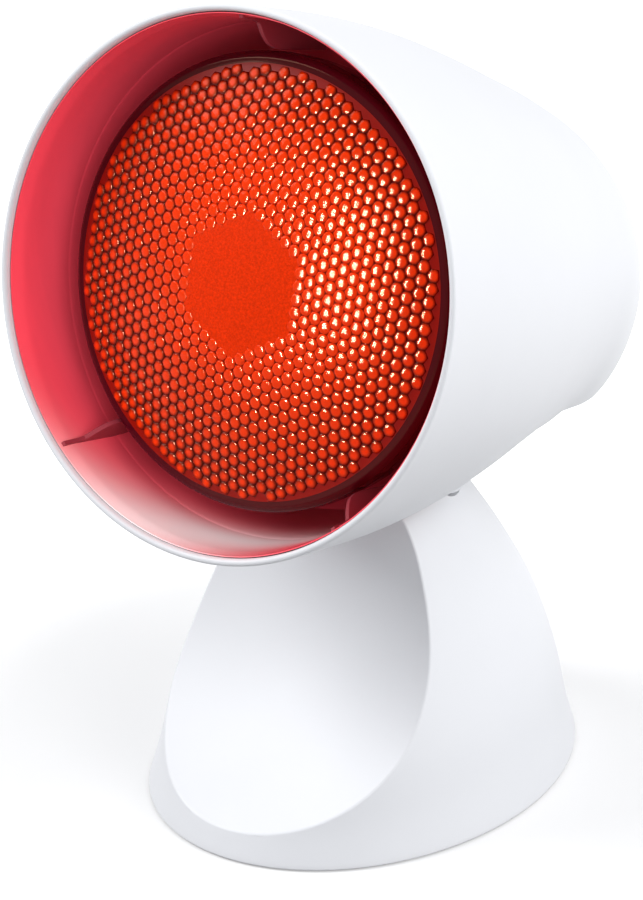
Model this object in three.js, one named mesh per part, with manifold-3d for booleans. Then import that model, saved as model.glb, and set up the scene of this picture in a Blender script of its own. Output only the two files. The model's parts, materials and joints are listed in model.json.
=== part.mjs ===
// Infrared heat lamp: a tilting hood with a screw-in reflector bulb on a moulded free-standing stand.
// Millimetres, +Z up. The lens looks along -Y, the switch and the cord gland are at the back.
import * as THREE from 'three';
import { mergeVertices } from 'three/addons/utils/BufferGeometryUtils.js';
import Module from 'manifold-3d';

const wasm = await Module();
wasm.setup();

// Clearances shared by all pieces
const seat_gap = 0.3;
const running_gap = 0.4;
const overrun = 4;

// Counts and turns
const degree = Math.PI / 180;
const around_hood = 44;
const around_bulb = 32;
const around_stand = 44;
const around_small = 12;
const around_socket = 16;
const around_holder = 24;
const around_joint = 30;
const corner_steps = 4;
const vent_corner_steps = 3;
const around_notch = 8;
const nib_steps = 5;
const hexagon_sides = 6;
const around_wire = 4;
const lead_steps = 8;
const filament_steps = 14;

// Hood: a deep moulded bell, full round at the lip, whose rear end drops a little
const hood_mouth_gap = 11.9;
const hood_rear_room = 29;
const hood_wall = 1.9;
const hood_droop = 7.4;
const hood_droop_start_share = 0.58;
// Below the axis the rear reaches further back, down to the undercut
const hood_tail_reach = 9;
const hood_tail_start_share = 0.6;
const hood_tail_end_share = 0.9;
const hood_tail_power = 3;
const hood_rings = 12;
const hood_ring_crowding = 1.6;
const hood_probe_share = 0.001;
const lip_steps = 5;
// Each row: share of the hood's length, share of its rim radius
const hood_profile_shares = [
  [0, 1], [0.08, 0.991], [0.17, 0.977], [0.28, 0.941], [0.4, 0.879], [0.52, 0.804],
  [0.64, 0.729], [0.72, 0.682], [0.8, 0.602], [0.87, 0.487], [0.94, 0.338], [1, 0],
];

// Opening for the neck, measured from the hinge, and the flat undercut behind it and below the frame
const neck_slot_side_room = 6.9;
const neck_slot_ahead = 32.8;
const neck_slot_corner = 10;
const undercut_behind = 30.2;
const undercut_room = 7.5;

// Tilt hinge: its place behind the bulb's face and below the liner, and its rest angle
const pivot_setback = 71.6;
const pivot_room = 8.85;
const rest_tilt = 13 * degree;
const pivot_height = 101;
const pivot_y = 2;

// Liner: a thin reflecting ring inside the mouth that closes in behind the bulb's glass,
// with three ribs that centre the bulb
const liner_wall = 0.8;
const liner_front = 1.7;
const liner_crease = 24;
const liner_crease_step = 0.3;
const liner_front_steps = 2;
const liner_back = 48;
const liner_fall = 2.6;
const liner_steps = 3;
const liner_cone_setback = 8;
const liner_cone_short = 18;
const liner_cone_gap = 1.6;
const liner_cone_steps = 5;
const rib_thickness = 1.6;
const rib_front = 2.6;
const rib_toe_height = 0.9;
const rib_setback = 4.8;
const rib_length = 20;
const rib_angles = [95, 230, 310];

// Bulb: a pressed glass reflector bulb on an E27 screw cap
const bulb_radius = 60.5;
const bulb_face_depth = 17.2;
const lens_crown = 7;
const lens_glass = 3;
const lens_edge = 5.5;
const lens_edge_round = 2.4;
const lens_margin = 3.1;
const hex_pad_radius = 18.9;
const hex_pad_height = 0.4;
const hex_pad_rings = 2;
const reflector_glass = 2.2;
const glass_length = 98.8;
// Each row: share of the reflector's length behind the lens edge, share of the bulb's radius
const reflector_shares = [
  [0, 1], [0.08, 0.985], [0.22, 0.93], [0.38, 0.81], [0.54, 0.64],
  [0.68, 0.47], [0.8, 0.335], [0.9, 0.27], [1, 0.2413],
];
const reflector_rings = 9;
const lens_rings = 5;
const lens_edge_steps = 3;
const stem_radius = 5.5;
const stem_flare_share = 1.4;
const stem_length = 26;
const filament_ahead = 25.5;
const filament_half_span = 11;
const filament_rise = 5;
const filament_wire = 0.9;
const lead_radius = 0.7;
const lead_spread = 3.2;

// Screw cap
const cap_radius = 13.1;
const cap_length = 22;
const cap_thread_pitch = 3.6;
const cap_thread_depth = 0.8;
const cap_thread_shares = [0.33, 0.5, 0.85];
const cap_sheet = 1.2;
const insulator_length = 4.2;
const insulator_top_radius = 7;
const contact_radius = 4.4;
const contact_tip_share = 0.7;
const contact_length = 1.6;

// Ceramic lamp holder with its threaded sleeve and spring contact
const holder_wall = 6.2;
const holder_mouth_gap = 3.2;
const holder_floor = 8;
const sleeve_wall = 0.6;
const tongue_length = 17;
const tongue_width = 6;
const tongue_sheet = 0.8;
const holder_shoulder = 2;

// Steel frame that carries the holder and the hinge
const frame_sheet = 1.6;
const ear_radius = 10;
const ear_arc_start = 135 * degree;
const ear_arc_end = 306 * degree;
const arm_top = 10;
const arm_bottom = 13;
const arm_knee_setback = 4.5;
const plate_margin = 6.5;
const plate_half_width = 21;
const frame_boss_x = 16;
const frame_boss_rise = 5;
const frame_boss_radius = 3.8;
const screw_radius = 1.5;
const screw_head_radius = 3;
const screw_head_height = 1.8;
const screw_crown_share = 0.75;
const screw_length = 8;
const holder_screw_x = 10;

// Hinge bolt, nut, washers and click wheel
const bolt_radius = 3;
const bolt_head_radius = 5.6;
const bolt_head_height = 3;
const nut_radius = 5.4;
const nut_height = 3.6;
const washer_radius = 8.6;
const washer_thickness = 1;
const barrel_wall = 1.9;
const barrel_inset = 0.25;
const wheel_radius = 8.2;
const wheel_half_width = 1.8;
const click_positions = 5;
const click_step = 10 * degree;
const click_radius = 0.6;
const click_spring_width = 3.2;
const click_spring_sheet = 0.7;
const click_spring_length = 24;

// Vent cover that closes the undercut
const cover_thickness = 2;
const cover_recess = 1.4;
const cover_front = 3;
const vent_pitch = 7.2;
const vent_width = 2.8;
const vent_half_length = 17;
const vent_first = 9;
const vent_rear_margin = 25;
const vent_end_share = 0.98;

// Stand: oval in plan, narrowing upwards, with a hollow cove at the front that the hood dips into
const stand_half_width = 57.4;
const stand_half_depth = 75.6;
const stand_shoulder_drop = 11;
const stand_lift = 0.8;
const stand_wall = 2.4;
const stand_rings = 11;
const stand_top_rise = 2;
// Each row: share of the taper height, half width share, half depth share, centre share of the half depth
const stand_section_shares = [
  [0, 1, 1, 0], [0.133, 0.943, 0.925, -0.011], [0.333, 0.878, 0.866, -0.021], [0.556, 0.77, 0.768, -0.036],
  [0.778, 0.636, 0.62, -0.064], [1, 0.496, 0.44, -0.1], [1.06, 0.45, 0.3, -0.02], [1.1, 0.43, 0.23, 0],
  [1.15, 0.41, 0.17, 0.02],
];
const cove_floor = 2.5;
const cove_drop = 18.8;
const neck_front = 23.9;
const around_cove = 52;
const neck_roof = 6.5;

// Base plate, feet, ballast and their screws
const plate_lift = 1.6;
const plate_thickness = 2.5;
const foot_radius = 7;
const foot_socket = 1;
const foot_margin = 11.8;
const foot_turn = 43.6 * degree;
const boss_radius = 4.2;
const boss_beside_foot = 3;
const boss_behind_front_foot = 16;
const boss_ahead_of_rear_foot = 10;
const pilot_depth = 14;
const ballast_margin_side = 31.4;
const ballast_margin_front = 37.6;
const ballast_margin_rear = 45.6;
const ballast_thickness = 9;
const ballast_corner = 8;
const peg_radius = 3;
const peg_margin = 12;
const peg_height = 6;

// Rocker switch in the back of the stand
const switch_height = 38;
const switch_slope = 20 * degree;
const bezel_half_width = 7.5;
const bezel_half_height = 10.5;
const bezel_thickness = 1.6;
const bezel_rim_side = 1.1;
const bezel_rim_end = 1.3;
const switch_box_wall = 1.8;
const switch_box_depth = 15;
const rocker_sink = 4;
const rocker_rise = 1.9;
const rocker_tip_share = 0.93;
const rocker_shoulder_share = 0.6;
const rocker_rest_tilt = 6 * degree;
const pad_margin = 2.4;
const pad_depth = 6;
const blade_half_width = 2.4;
const blade_thickness = 0.8;
const blade_length = 8;
const blade_z = 5;

// Cord gland low in the back of the stand
const gland_height = 15;
const gland_bore = 3.6;
const gland_wall = 1.8;
const gland_rim = 1.8;
const gland_flange = 1.8;
const gland_edge_share = 0.93;
const gland_pocket_depth = 2.2;
const gland_tail = 5;
const gland_tail_share = 0.85;

// Depths along the bulb and its holder, from the mouth of the hood
const lens_field_radius = bulb_radius - lens_margin;
const lens_back_depth = bulb_face_depth + lens_edge;
const reflector_front = lens_back_depth + seat_gap;
const reflector_end = bulb_face_depth + glass_length;
const cap_front = reflector_end + seat_gap;
const cap_back = cap_front + cap_length;
const insulator_back = cap_back + seat_gap + insulator_length;
const contact_back = insulator_back + seat_gap + contact_length;
const tongue_front = contact_back + seat_gap;
const holder_mouth_depth = cap_front + holder_mouth_gap;
const holder_floor_depth = tongue_front + tongue_sheet + seat_gap;
const holder_back = holder_floor_depth + holder_floor;
const sleeve_inner = cap_radius + seat_gap;
const sleeve_outer = sleeve_inner + sleeve_wall;
const holder_bore = sleeve_outer + seat_gap;
const holder_radius = holder_bore + holder_wall;
const frame_plate_front = holder_back + seat_gap;
const frame_plate_back = frame_plate_front + frame_sheet;
const arm_knee_depth = holder_mouth_depth + arm_knee_setback;
const plate_bottom = holder_radius + plate_margin;
const frame_boss_z = plate_bottom - frame_boss_rise;

// Stand and hinge sizes that follow from the pivot and the click wheel
const stand_taper_height = pivot_height - stand_shoulder_drop;
const stand_top = pivot_height + stand_top_rise;
const barrel_radius = wheel_radius + running_gap + barrel_wall;
const barrel_half_length = standHalfWidthAt(pivot_height) - barrel_inset;
const neck_void_top = pivot_height - barrel_radius - neck_roof;
const cove_z = pivot_height - cove_drop;
const cove_radius = cove_z - cove_floor;
const cove_y = pivot_y - neck_front - cove_radius;
const ear_inner = barrel_half_length + washer_thickness + 2 * seat_gap;
const ear_outer = ear_inner + frame_sheet;
const bolt_bore = bolt_radius + seat_gap;
const pivot_depth = bulb_face_depth + pivot_setback;
const pivot_glass_share = (pivot_depth - reflector_front) / (reflector_end - reflector_front);
const pivot_glass_radius = reflectorRadiusAt(pivot_glass_share);
const pivot_drop = pivot_glass_radius + liner_cone_gap + liner_wall + barrel_radius + pivot_room;

// Hood and liner sizes that follow from the bulb, the frame and the hinge
const hood_length = frame_plate_back + hood_rear_room;
const hood_rim_radius = bulb_radius + hood_mouth_gap;
const neck_slot_half_width = ear_outer + neck_slot_side_room;
const neck_slot_front = pivot_depth - neck_slot_ahead;
const undercut_front = pivot_depth + undercut_behind;
const undercut_drop = plate_bottom + undercut_room;
const liner_cone_start = liner_back + liner_cone_setback;
const liner_cone_end = reflector_end - liner_cone_short;
const rib_full_depth = bulb_face_depth + rib_setback;
const rib_back = rib_full_depth + rib_length;

// Places under the stand, switch and gland sizes
const foot_x = (stand_half_width - foot_margin) * Math.cos(foot_turn);
const foot_y = (stand_half_depth - foot_margin) * Math.sin(foot_turn);
const boss_x = foot_x + boss_beside_foot;
const boss_front_y = boss_behind_front_foot - foot_y;
const boss_rear_y = foot_y - boss_ahead_of_rear_foot;
const ballast_half_width = stand_half_width - ballast_margin_side;
const ballast_front = ballast_margin_front - stand_half_depth;
const ballast_rear = stand_half_depth - ballast_margin_rear;
const peg_y = (ballast_rear - ballast_front) / 2 - peg_margin;
const switch_box_half_width = bezel_half_width - bezel_rim_side;
const switch_box_half_height = bezel_half_height - bezel_rim_end;
const rocker_half_width = switch_box_half_width - switch_box_wall;
const rocker_half_height = switch_box_half_height - switch_box_wall;
const pocket_half_width = rocker_half_width + running_gap;
const gland_neck_radius = gland_bore + gland_wall;
const gland_flange_radius = gland_neck_radius + gland_rim;

const lamp = new THREE.Group();
const stand = new THREE.Group();
const hinge = new THREE.Group();
const head = new THREE.Group();
lamp.add(stand, hinge);
hinge.add(head);
hinge.position.set(0, pivot_y, pivot_height);
hinge.rotation.x = -rest_tilt;
head.position.set(0, -pivot_depth, pivot_drop);

// Reads a smooth value from a table whose first column rises along the part
function smoothAt(rows, column, along) {
  const last = rows.length - 1;
  let k = 0;
  while (k < last - 1 && along > rows[k + 1][0]) {
    k += 1;
  }
  const slope = (i) => {
    const a = Math.max(i - 1, 0);
    const b = Math.min(i + 1, last);
    return (rows[b][column] - rows[a][column]) / (rows[b][0] - rows[a][0]);
  };
  const step = rows[k + 1][0] - rows[k][0];
  const t = (along - rows[k][0]) / step;
  const rise = t * t * (3 - 2 * t);
  const curve = t * (1 - t) * step * (slope(k) * (1 - t) - slope(k + 1) * t);
  return rows[k][column] + (rows[k + 1][column] - rows[k][column]) * rise + curve;
}

// Closed three.js geometry to a solid that can be joined and cut
function solid(geometry) {
  const bare = geometry.index ? geometry.toNonIndexed() : geometry.clone();
  bare.deleteAttribute('normal');
  bare.deleteAttribute('uv');
  const merged = mergeVertices(bare);
  const corners = merged.attributes.position;
  const index = merged.index.array;
  const triangles = [];
  let volume = 0;
  for (let i = 0; i < index.length; i += 3) {
    const [a, b, c] = [index[i], index[i + 1], index[i + 2]];
    if (a === b || b === c || a === c) {
      continue;
    }
    const [p, q, r] = [a, b, c].map((k) => new THREE.Vector3().fromBufferAttribute(corners, k));
    volume += p.dot(q.cross(r));
    triangles.push(a, b, c);
  }
  if (volume < 0) {
    for (let i = 0; i < triangles.length; i += 3) {
      [triangles[i], triangles[i + 1]] = [triangles[i + 1], triangles[i]];
    }
  }
  return new wasm.Manifold(new wasm.Mesh({
    numProp: 3,
    vertProperties: new Float32Array(corners.array),
    triVerts: new Uint32Array(triangles),
  }));
}

function shapeOf(body) {
  const mesh = body.getMesh();
  const geometry = new THREE.BufferGeometry();
  geometry.setAttribute('position', new THREE.BufferAttribute(new Float32Array(mesh.vertProperties), 3));
  geometry.setIndex(new THREE.BufferAttribute(new Uint32Array(mesh.triVerts), 1));
  geometry.computeVertexNormals();
  return geometry;
}

function addPiece(group, name, body, finish) {
  const [color, roughness, metalness] = finish;
  const mesh = new THREE.Mesh(shapeOf(body), new THREE.MeshStandardMaterial({ color, roughness, metalness }));
  mesh.name = name;
  group.add(mesh);
  return mesh;
}

// Round body along Y from rows of radius and depth
function turned(rows, segments) {
  const profile = rows.map(([radius, depth]) => new THREE.Vector2(radius, depth));
  return solid(new THREE.LatheGeometry(profile, segments));
}

// Round body along Z from rows of radius and height
function turnedUp(rows, segments) {
  const profile = rows.map(([radius, height]) => new THREE.Vector2(radius, height));
  return solid(new THREE.LatheGeometry(profile, segments).rotateX(Math.PI / 2));
}

function block(x0, x1, y0, y1, z0, z1) {
  const box = new THREE.BoxGeometry(x1 - x0, y1 - y0, z1 - z0);
  return solid(box.translate((x0 + x1) / 2, (y0 + y1) / 2, (z0 + z1) / 2));
}

// Round bar along X, Y or Z between two places
function bar(axis, radius, from, to, u, v, segments) {
  const rod = new THREE.CylinderGeometry(radius, radius, to - from, segments);
  const middle = (from + to) / 2;
  if (axis === 'x') {
    rod.rotateZ(Math.PI / 2).translate(middle, u, v);
  } else if (axis === 'y') {
    rod.translate(u, middle, v);
  } else {
    rod.rotateX(Math.PI / 2).translate(u, v, middle);
  }
  return solid(rod);
}

// Flat outline drawn in the YZ plane and given a width along X
function sideways(shape, x0, x1, segments) {
  const depth = x1 - x0;
  const plate = new THREE.ExtrudeGeometry(shape, { depth, bevelEnabled: false, curveSegments: segments });
  plate.applyMatrix4(new THREE.Matrix4().makeBasis(
    new THREE.Vector3(0, 1, 0),
    new THREE.Vector3(0, 0, 1),
    new THREE.Vector3(1, 0, 0),
  ));
  return solid(plate.translate(x0, 0, 0));
}

function roundedOutline(x0, x1, y0, y1, corner) {
  const shape = new THREE.Shape();
  shape.moveTo(x0 + corner, y0);
  shape.lineTo(x1 - corner, y0);
  shape.absarc(x1 - corner, y0 + corner, corner, -Math.PI / 2, 0, false);
  shape.lineTo(x1, y1 - corner);
  shape.absarc(x1 - corner, y1 - corner, corner, 0, Math.PI / 2, false);
  shape.lineTo(x0 + corner, y1);
  shape.absarc(x0 + corner, y1 - corner, corner, Math.PI / 2, Math.PI, false);
  shape.lineTo(x0, y0 + corner);
  shape.absarc(x0 + corner, y0 + corner, corner, Math.PI, Math.PI * 1.5, false);
  return shape;
}

// Flat outline drawn in the XY plane and given a height along Z
function upright(shape, z0, z1, segments) {
  const depth = z1 - z0;
  const plate = new THREE.ExtrudeGeometry(shape, { depth, bevelEnabled: false, curveSegments: segments });
  return solid(plate.translate(0, 0, z0));
}

// Hood
const hood_squares = hood_profile_shares.map(([along, radius]) => [along, radius * radius]);

function hoodRadiusAt(depth) {
  const square = smoothAt(hood_squares, 1, THREE.MathUtils.clamp(depth / hood_length, 0, 1));
  return hood_rim_radius * Math.sqrt(Math.max(square, 0));
}

function hoodDroopAt(depth) {
  return hood_droop * THREE.MathUtils.smoothstep(depth / hood_length, hood_droop_start_share, 1);
}

function hoodTailAt(depth, height) {
  const along = THREE.MathUtils.smoothstep(depth / hood_length, hood_tail_start_share, hood_tail_end_share);
  const below = THREE.MathUtils.clamp(-height / undercut_drop, 0, 1);
  return hood_tail_reach * along * below ** hood_tail_power;
}

// The hood's outline moved inwards by an inset, as rows of radius and depth ending on the axis
function hoodRows(inset, front) {
  const rows = [];
  const probe = hood_length * hood_probe_share;
  for (let i = 0; i < hood_rings; i += 1) {
    const share = 1 - (1 - i / hood_rings) ** hood_ring_crowding;
    const depth = front + (hood_length - front) * share;
    const rise = hoodRadiusAt(depth + probe) - hoodRadiusAt(depth - probe);
    const run = Math.min(depth + probe, hood_length) - Math.max(depth - probe, 0);
    const length = Math.hypot(rise, run);
    const radius = hoodRadiusAt(depth) - inset * run / length;
    if (radius > inset) {
      rows.push([radius, depth + inset * rise / length]);
    }
  }
  rows.push([0, hood_length - inset]);
  return rows;
}

function drooped(rows, segments) {
  const profile = rows.map(([radius, depth]) => new THREE.Vector2(radius, depth));
  const geometry = new THREE.LatheGeometry(profile, segments);
  const corners = geometry.attributes.position;
  for (let i = 0; i < corners.count; i += 1) {
    const depth = corners.getY(i);
    const height = corners.getZ(i) - hoodDroopAt(depth);
    corners.setZ(i, height);
    corners.setY(i, depth + hoodTailAt(depth, height));
  }
  return solid(geometry);
}

function hoodFilled(inset, front) {
  const rows = hoodRows(inset, front);
  return drooped([[0, rows[0][1]], ...rows], around_hood);
}

function hoodShell() {
  const lip = hood_wall / 2;
  const outer = hoodRows(0, lip);
  const inner = hoodRows(hood_wall, lip).reverse();
  const edge = [];
  for (let i = 1; i < lip_steps; i += 1) {
    const turn = Math.PI * i / lip_steps;
    edge.push([hood_rim_radius - lip - lip * Math.cos(turn), lip - lip * Math.sin(turn)]);
  }
  return drooped([...inner, ...edge, ...outer], around_hood);
}

function frameBosses() {
  const outside = hoodFilled(hood_wall / 2, hood_wall);
  const start = frame_plate_back + seat_gap;
  const pilot = screw_radius + seat_gap;
  const bosses = [-1, 1].map((side) => {
    const x = side * frame_boss_x;
    const post = bar('y', frame_boss_radius, start, hood_length, x, -frame_boss_z, around_small);
    const hole = bar('y', pilot, start - overrun, start + screw_length, x, -frame_boss_z, around_small);
    return post.intersect(outside).subtract(hole);
  });
  return bosses[0].add(bosses[1]);
}

function neckSlot() {
  const back = undercut_front + neck_slot_corner + overrun;
  const half = neck_slot_half_width;
  const outline = roundedOutline(-half, half, neck_slot_front, back, neck_slot_corner);
  return upright(outline, -hood_rim_radius - overrun, -undercut_drop + overrun, corner_steps);
}

function undercut() {
  return block(
    -hood_rim_radius, hood_rim_radius,
    undercut_front, hood_length + overrun,
    -hood_rim_radius - overrun, -undercut_drop,
  );
}

const hood = hoodShell().add(frameBosses()).subtract(neckSlot()).subtract(undercut());
addPiece(head, 'hood_shell', hood, [0xf2f3f6, 0.35, 0]);

function ventCover() {
  const bottom = -undercut_drop + cover_recess;
  const front = undercut_front + cover_front;
  let cover = hoodFilled(hood_wall + seat_gap, hood_wall).intersect(block(
    -hood_rim_radius, hood_rim_radius,
    front, hood_length,
    bottom, bottom + cover_thickness,
  ));
  const half = vent_width / 2;
  const low = bottom - overrun;
  const high = bottom + cover_thickness + overrun;
  const vent_room = hood_length - front - vent_first - vent_rear_margin;
  const vent_count = Math.floor(vent_room / vent_pitch) + 1;
  for (let i = 0; i < vent_count; i += 1) {
    const middle = front + vent_first + i * vent_pitch;
    const reach = vent_half_length * (1 - i / (2 * vent_count));
    const outline = roundedOutline(-reach, reach, middle - half, middle + half, half * vent_end_share);
    cover = cover.subtract(upright(outline, low, high, vent_corner_steps));
  }
  return cover;
}
addPiece(head, 'vent_cover', ventCover(), [0xe9eaee, 0.5, 0]);

// Liner with the bulb ribs
function linerOuterAt(depth) {
  const crease = depth > liner_crease ? liner_crease_step : 0;
  const fall = liner_fall * Math.max(depth - liner_crease, 0) / (liner_back - liner_crease);
  return hoodRadiusAt(depth) - hood_wall - seat_gap - crease - fall;
}

function linerRing() {
  const bend = liner_crease + liner_crease_step;
  const outer = [];
  for (let i = 0; i <= liner_front_steps; i += 1) {
    const depth = liner_front + (liner_crease - liner_front) * i / liner_front_steps;
    outer.push([linerOuterAt(depth), depth]);
  }
  outer.push([linerOuterAt(bend), bend]);
  for (let i = 1; i <= liner_steps; i += 1) {
    const depth = bend + (liner_back - bend) * i / liner_steps;
    outer.push([linerOuterAt(depth), depth]);
  }
  for (let i = 0; i <= liner_cone_steps; i += 1) {
    const depth = liner_cone_start + (liner_cone_end - liner_cone_start) * i / liner_cone_steps;
    const share = (depth - reflector_front) / (reflector_end - reflector_front);
    outer.push([reflectorRadiusAt(share) + liner_cone_gap + liner_wall, depth]);
  }
  const inner = outer.map(([radius, depth]) => [radius - liner_wall, depth]).reverse();
  return turned([...outer, ...inner, outer[0]], around_bulb);
}

function linerRib(angle) {
  const gap = running_gap;
  const toe = linerOuterAt(rib_front) - liner_wall / 2;
  const bend = liner_crease + liner_crease_step;
  const outline = new THREE.Shape();
  outline.moveTo(rib_front, toe);
  outline.lineTo(rib_full_depth / 2, linerOuterAt(rib_full_depth / 2) - liner_wall - rib_toe_height);
  outline.lineTo(rib_full_depth, bulb_radius + gap);
  outline.lineTo(rib_back - rib_toe_height, bulb_radius + gap);
  outline.lineTo(rib_back, linerOuterAt(rib_back) - liner_wall / 2);
  outline.lineTo(bend, linerOuterAt(bend) - liner_wall / 2);
  outline.lineTo(liner_crease, linerOuterAt(liner_crease) - liner_wall / 2);
  const plate = new THREE.ExtrudeGeometry(outline, { depth: rib_thickness, bevelEnabled: false });
  plate.translate(0, 0, -rib_thickness / 2);
  plate.applyMatrix4(new THREE.Matrix4().makeBasis(
    new THREE.Vector3(0, 1, 0),
    new THREE.Vector3(0, 0, 1),
    new THREE.Vector3(1, 0, 0),
  ));
  plate.rotateY(Math.PI / 2 - angle * degree);
  return solid(plate);
}

const liner = rib_angles.reduce((body, angle) => body.add(linerRib(angle)), linerRing());
addPiece(head, 'hood_liner', liner, [0xd6425a, 0.35, 0.3]);

// The smooth middle of the lens: a hexagon that stands a little proud of the crown and follows it
function hexPad(crown_at) {
  const inside = crown_at(0) + lens_glass / 2;
  const rows = [];
  for (let i = 0; i <= hex_pad_rings; i += 1) {
    const radius = hex_pad_radius * i / hex_pad_rings;
    rows.push([radius, crown_at(radius / lens_field_radius) - hex_pad_height]);
  }
  rows.push([hex_pad_radius, inside], [0, inside]);
  const prism = new THREE.CylinderGeometry(hex_pad_radius, hex_pad_radius, lens_field_radius, hexagon_sides);
  return turned(rows, around_bulb).intersect(solid(prism));
}

// Bulb
function lensBody() {
  const rows = [];
  const crown_at = (share) => bulb_face_depth - lens_crown * (1 - share * share);
  for (let i = 0; i <= lens_rings; i += 1) {
    const share = i / lens_rings;
    rows.push([lens_field_radius * share, crown_at(share)]);
  }
  const corner = bulb_radius - lens_edge_round;
  for (let i = 1; i <= lens_edge_steps; i += 1) {
    const turn = Math.PI / 2 * i / lens_edge_steps;
    rows.push([
      corner + lens_edge_round * Math.sin(turn),
      bulb_face_depth + lens_edge_round * (1 - Math.cos(turn)),
    ]);
  }
  rows.push([bulb_radius, lens_back_depth]);
  rows.push([bulb_radius - 2 * lens_edge_round, lens_back_depth]);
  for (let i = lens_rings; i >= 0; i -= 1) {
    const share = i / lens_rings;
    rows.push([(lens_field_radius - lens_glass) * share, crown_at(share) + lens_glass]);
  }
  return turned(rows, around_bulb).add(hexPad(crown_at));
}
addPiece(head, 'bulb_lens', lensBody(), [0xe03a0c, 0.2, 0]);

function reflectorRadiusAt(share) {
  return bulb_radius * smoothAt(reflector_shares, 1, share);
}

function reflectorBody() {
  const length = reflector_end - reflector_front;
  const outer = [];
  const inner = [];
  for (let i = 0; i <= reflector_rings; i += 1) {
    const share = i / reflector_rings;
    outer.push([reflectorRadiusAt(share), reflector_front + length * share]);
    if (share * length < length - reflector_glass) {
      inner.unshift([reflectorRadiusAt(share) - reflector_glass, reflector_front + length * share]);
    }
  }
  return turned([
    [0, reflector_end - reflector_glass],
    [reflectorRadiusAt(1) - reflector_glass, reflector_end - reflector_glass],
    ...inner,
    ...outer,
    [0, reflector_end],
  ], around_bulb);
}
addPiece(head, 'bulb_reflector', reflectorBody(), [0x9c1f26, 0.15, 0.2]);

const stem_back = reflector_end - reflector_glass - seat_gap;
const stem_front = stem_back - stem_length;
const filament_depth = stem_front - filament_ahead;

function stemBody() {
  const flare = stem_radius * stem_flare_share;
  return turned([
    [0, stem_front], [stem_radius, stem_front],
    [stem_radius, stem_back - flare], [flare, stem_back], [0, stem_back],
  ], around_small);
}
addPiece(head, 'bulb_stem', stemBody(), [0xdfe6ea, 0.1, 0]);

const filament_lead_end = filament_depth + filament_wire + seat_gap;
['left', 'right'].forEach((name, k) => {
  const side = 2 * k - 1;
  const foot = new THREE.Vector3(side * lead_spread, stem_front - seat_gap, 0);
  const knee = new THREE.Vector3(side * filament_half_span, filament_lead_end + filament_half_span, 0);
  const tip = new THREE.Vector3(side * filament_half_span, filament_lead_end, 0);
  const path = new THREE.CatmullRomCurve3([foot, knee, tip], false, 'centripetal');
  const section = new THREE.Shape().absarc(0, 0, lead_radius, 0, 2 * Math.PI);
  const wire = solid(new THREE.ExtrudeGeometry(section, {
    steps: lead_steps,
    curveSegments: around_wire,
    extrudePath: path,
  }));
  addPiece(head, `filament_lead_${name}`, wire, [0xb9bcc2, 0.3, 1]);
});

function filamentBody() {
  const span = filament_half_span;
  const path = new THREE.CatmullRomCurve3([
    new THREE.Vector3(-span, filament_depth, 0),
    new THREE.Vector3(-span / 2, filament_depth, filament_rise),
    new THREE.Vector3(span / 2, filament_depth, filament_rise),
    new THREE.Vector3(span, filament_depth, 0),
  ]);
  const section = new THREE.Shape().absarc(0, 0, filament_wire, 0, 2 * Math.PI);
  return solid(new THREE.ExtrudeGeometry(section, {
    steps: filament_steps,
    curveSegments: around_wire,
    extrudePath: path,
  }));
}
addPiece(head, 'filament', filamentBody(), [0x8d8f93, 0.4, 1]);

// Screw cap with rolled thread rings, then the glass insulator and the contact button
function capBody() {
  const root = cap_radius - cap_thread_depth;
  const rings = Math.floor((cap_length - cap_thread_pitch) / cap_thread_pitch);
  const outer = [[root, cap_front]];
  for (let i = 0; i < rings; i += 1) {
    const start = cap_front + cap_thread_pitch / 2 + i * cap_thread_pitch;
    const [foot, rise, fall] = cap_thread_shares.map((share) => start + cap_thread_pitch * share);
    outer.push([root, start]);
    outer.push([cap_radius, foot]);
    outer.push([cap_radius, rise]);
    outer.push([root, fall]);
  }
  outer.push([root, cap_back]);
  const bore = root - cap_sheet;
  return turned([
    [0, cap_front + cap_sheet], [bore, cap_front + cap_sheet],
    [bore, cap_front], ...outer, [0, cap_back],
  ], around_socket);
}
addPiece(head, 'bulb_cap', capBody(), [0xc8a860, 0.3, 1]);

const cap_root = cap_radius - cap_thread_depth;
addPiece(head, 'bulb_insulator', turned([
  [0, cap_back + seat_gap], [cap_root, cap_back + seat_gap],
  [insulator_top_radius, insulator_back], [0, insulator_back],
], around_socket), [0x2a2626, 0.3, 0]);
addPiece(head, 'bulb_contact', turned([
  [0, insulator_back + seat_gap], [contact_radius, insulator_back + seat_gap],
  [contact_radius * contact_tip_share, contact_back], [0, contact_back],
], around_small), [0xc9c9c6, 0.3, 1]);

// Lamp holder
function holderBody() {
  const edge = holder_radius - holder_shoulder;
  let body = turned([
    [holder_bore, holder_mouth_depth], [edge, holder_mouth_depth],
    [holder_radius, holder_mouth_depth + holder_shoulder], [holder_radius, holder_back - holder_shoulder],
    [edge, holder_back], [0, holder_back],
    [0, holder_floor_depth], [holder_bore, holder_floor_depth], [holder_bore, holder_mouth_depth],
  ], around_holder);
  [-1, 1].forEach((side) => {
    const pilot = screw_radius + seat_gap;
    const start = holder_back - screw_length + frame_sheet;
    const end = holder_back + overrun;
    body = body.subtract(bar('y', pilot, start, end, side * holder_screw_x, 0, around_small));
  });
  return body;
}
addPiece(head, 'holder_body', holderBody(), [0xe8e3d8, 0.5, 0]);

const sleeve_front = holder_mouth_depth + holder_shoulder;
addPiece(head, 'holder_sleeve', turned([
  [sleeve_inner, sleeve_front], [sleeve_outer, sleeve_front],
  [sleeve_outer, cap_back], [sleeve_inner, cap_back], [sleeve_inner, sleeve_front],
], around_holder), [0xc9a35a, 0.35, 1]);
addPiece(head, 'holder_tongue', block(
  -tongue_length / 2, tongue_length / 2,
  tongue_front, tongue_front + tongue_sheet,
  -tongue_width / 2, tongue_width / 2,
), [0xd0b070, 0.35, 1]);

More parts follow.
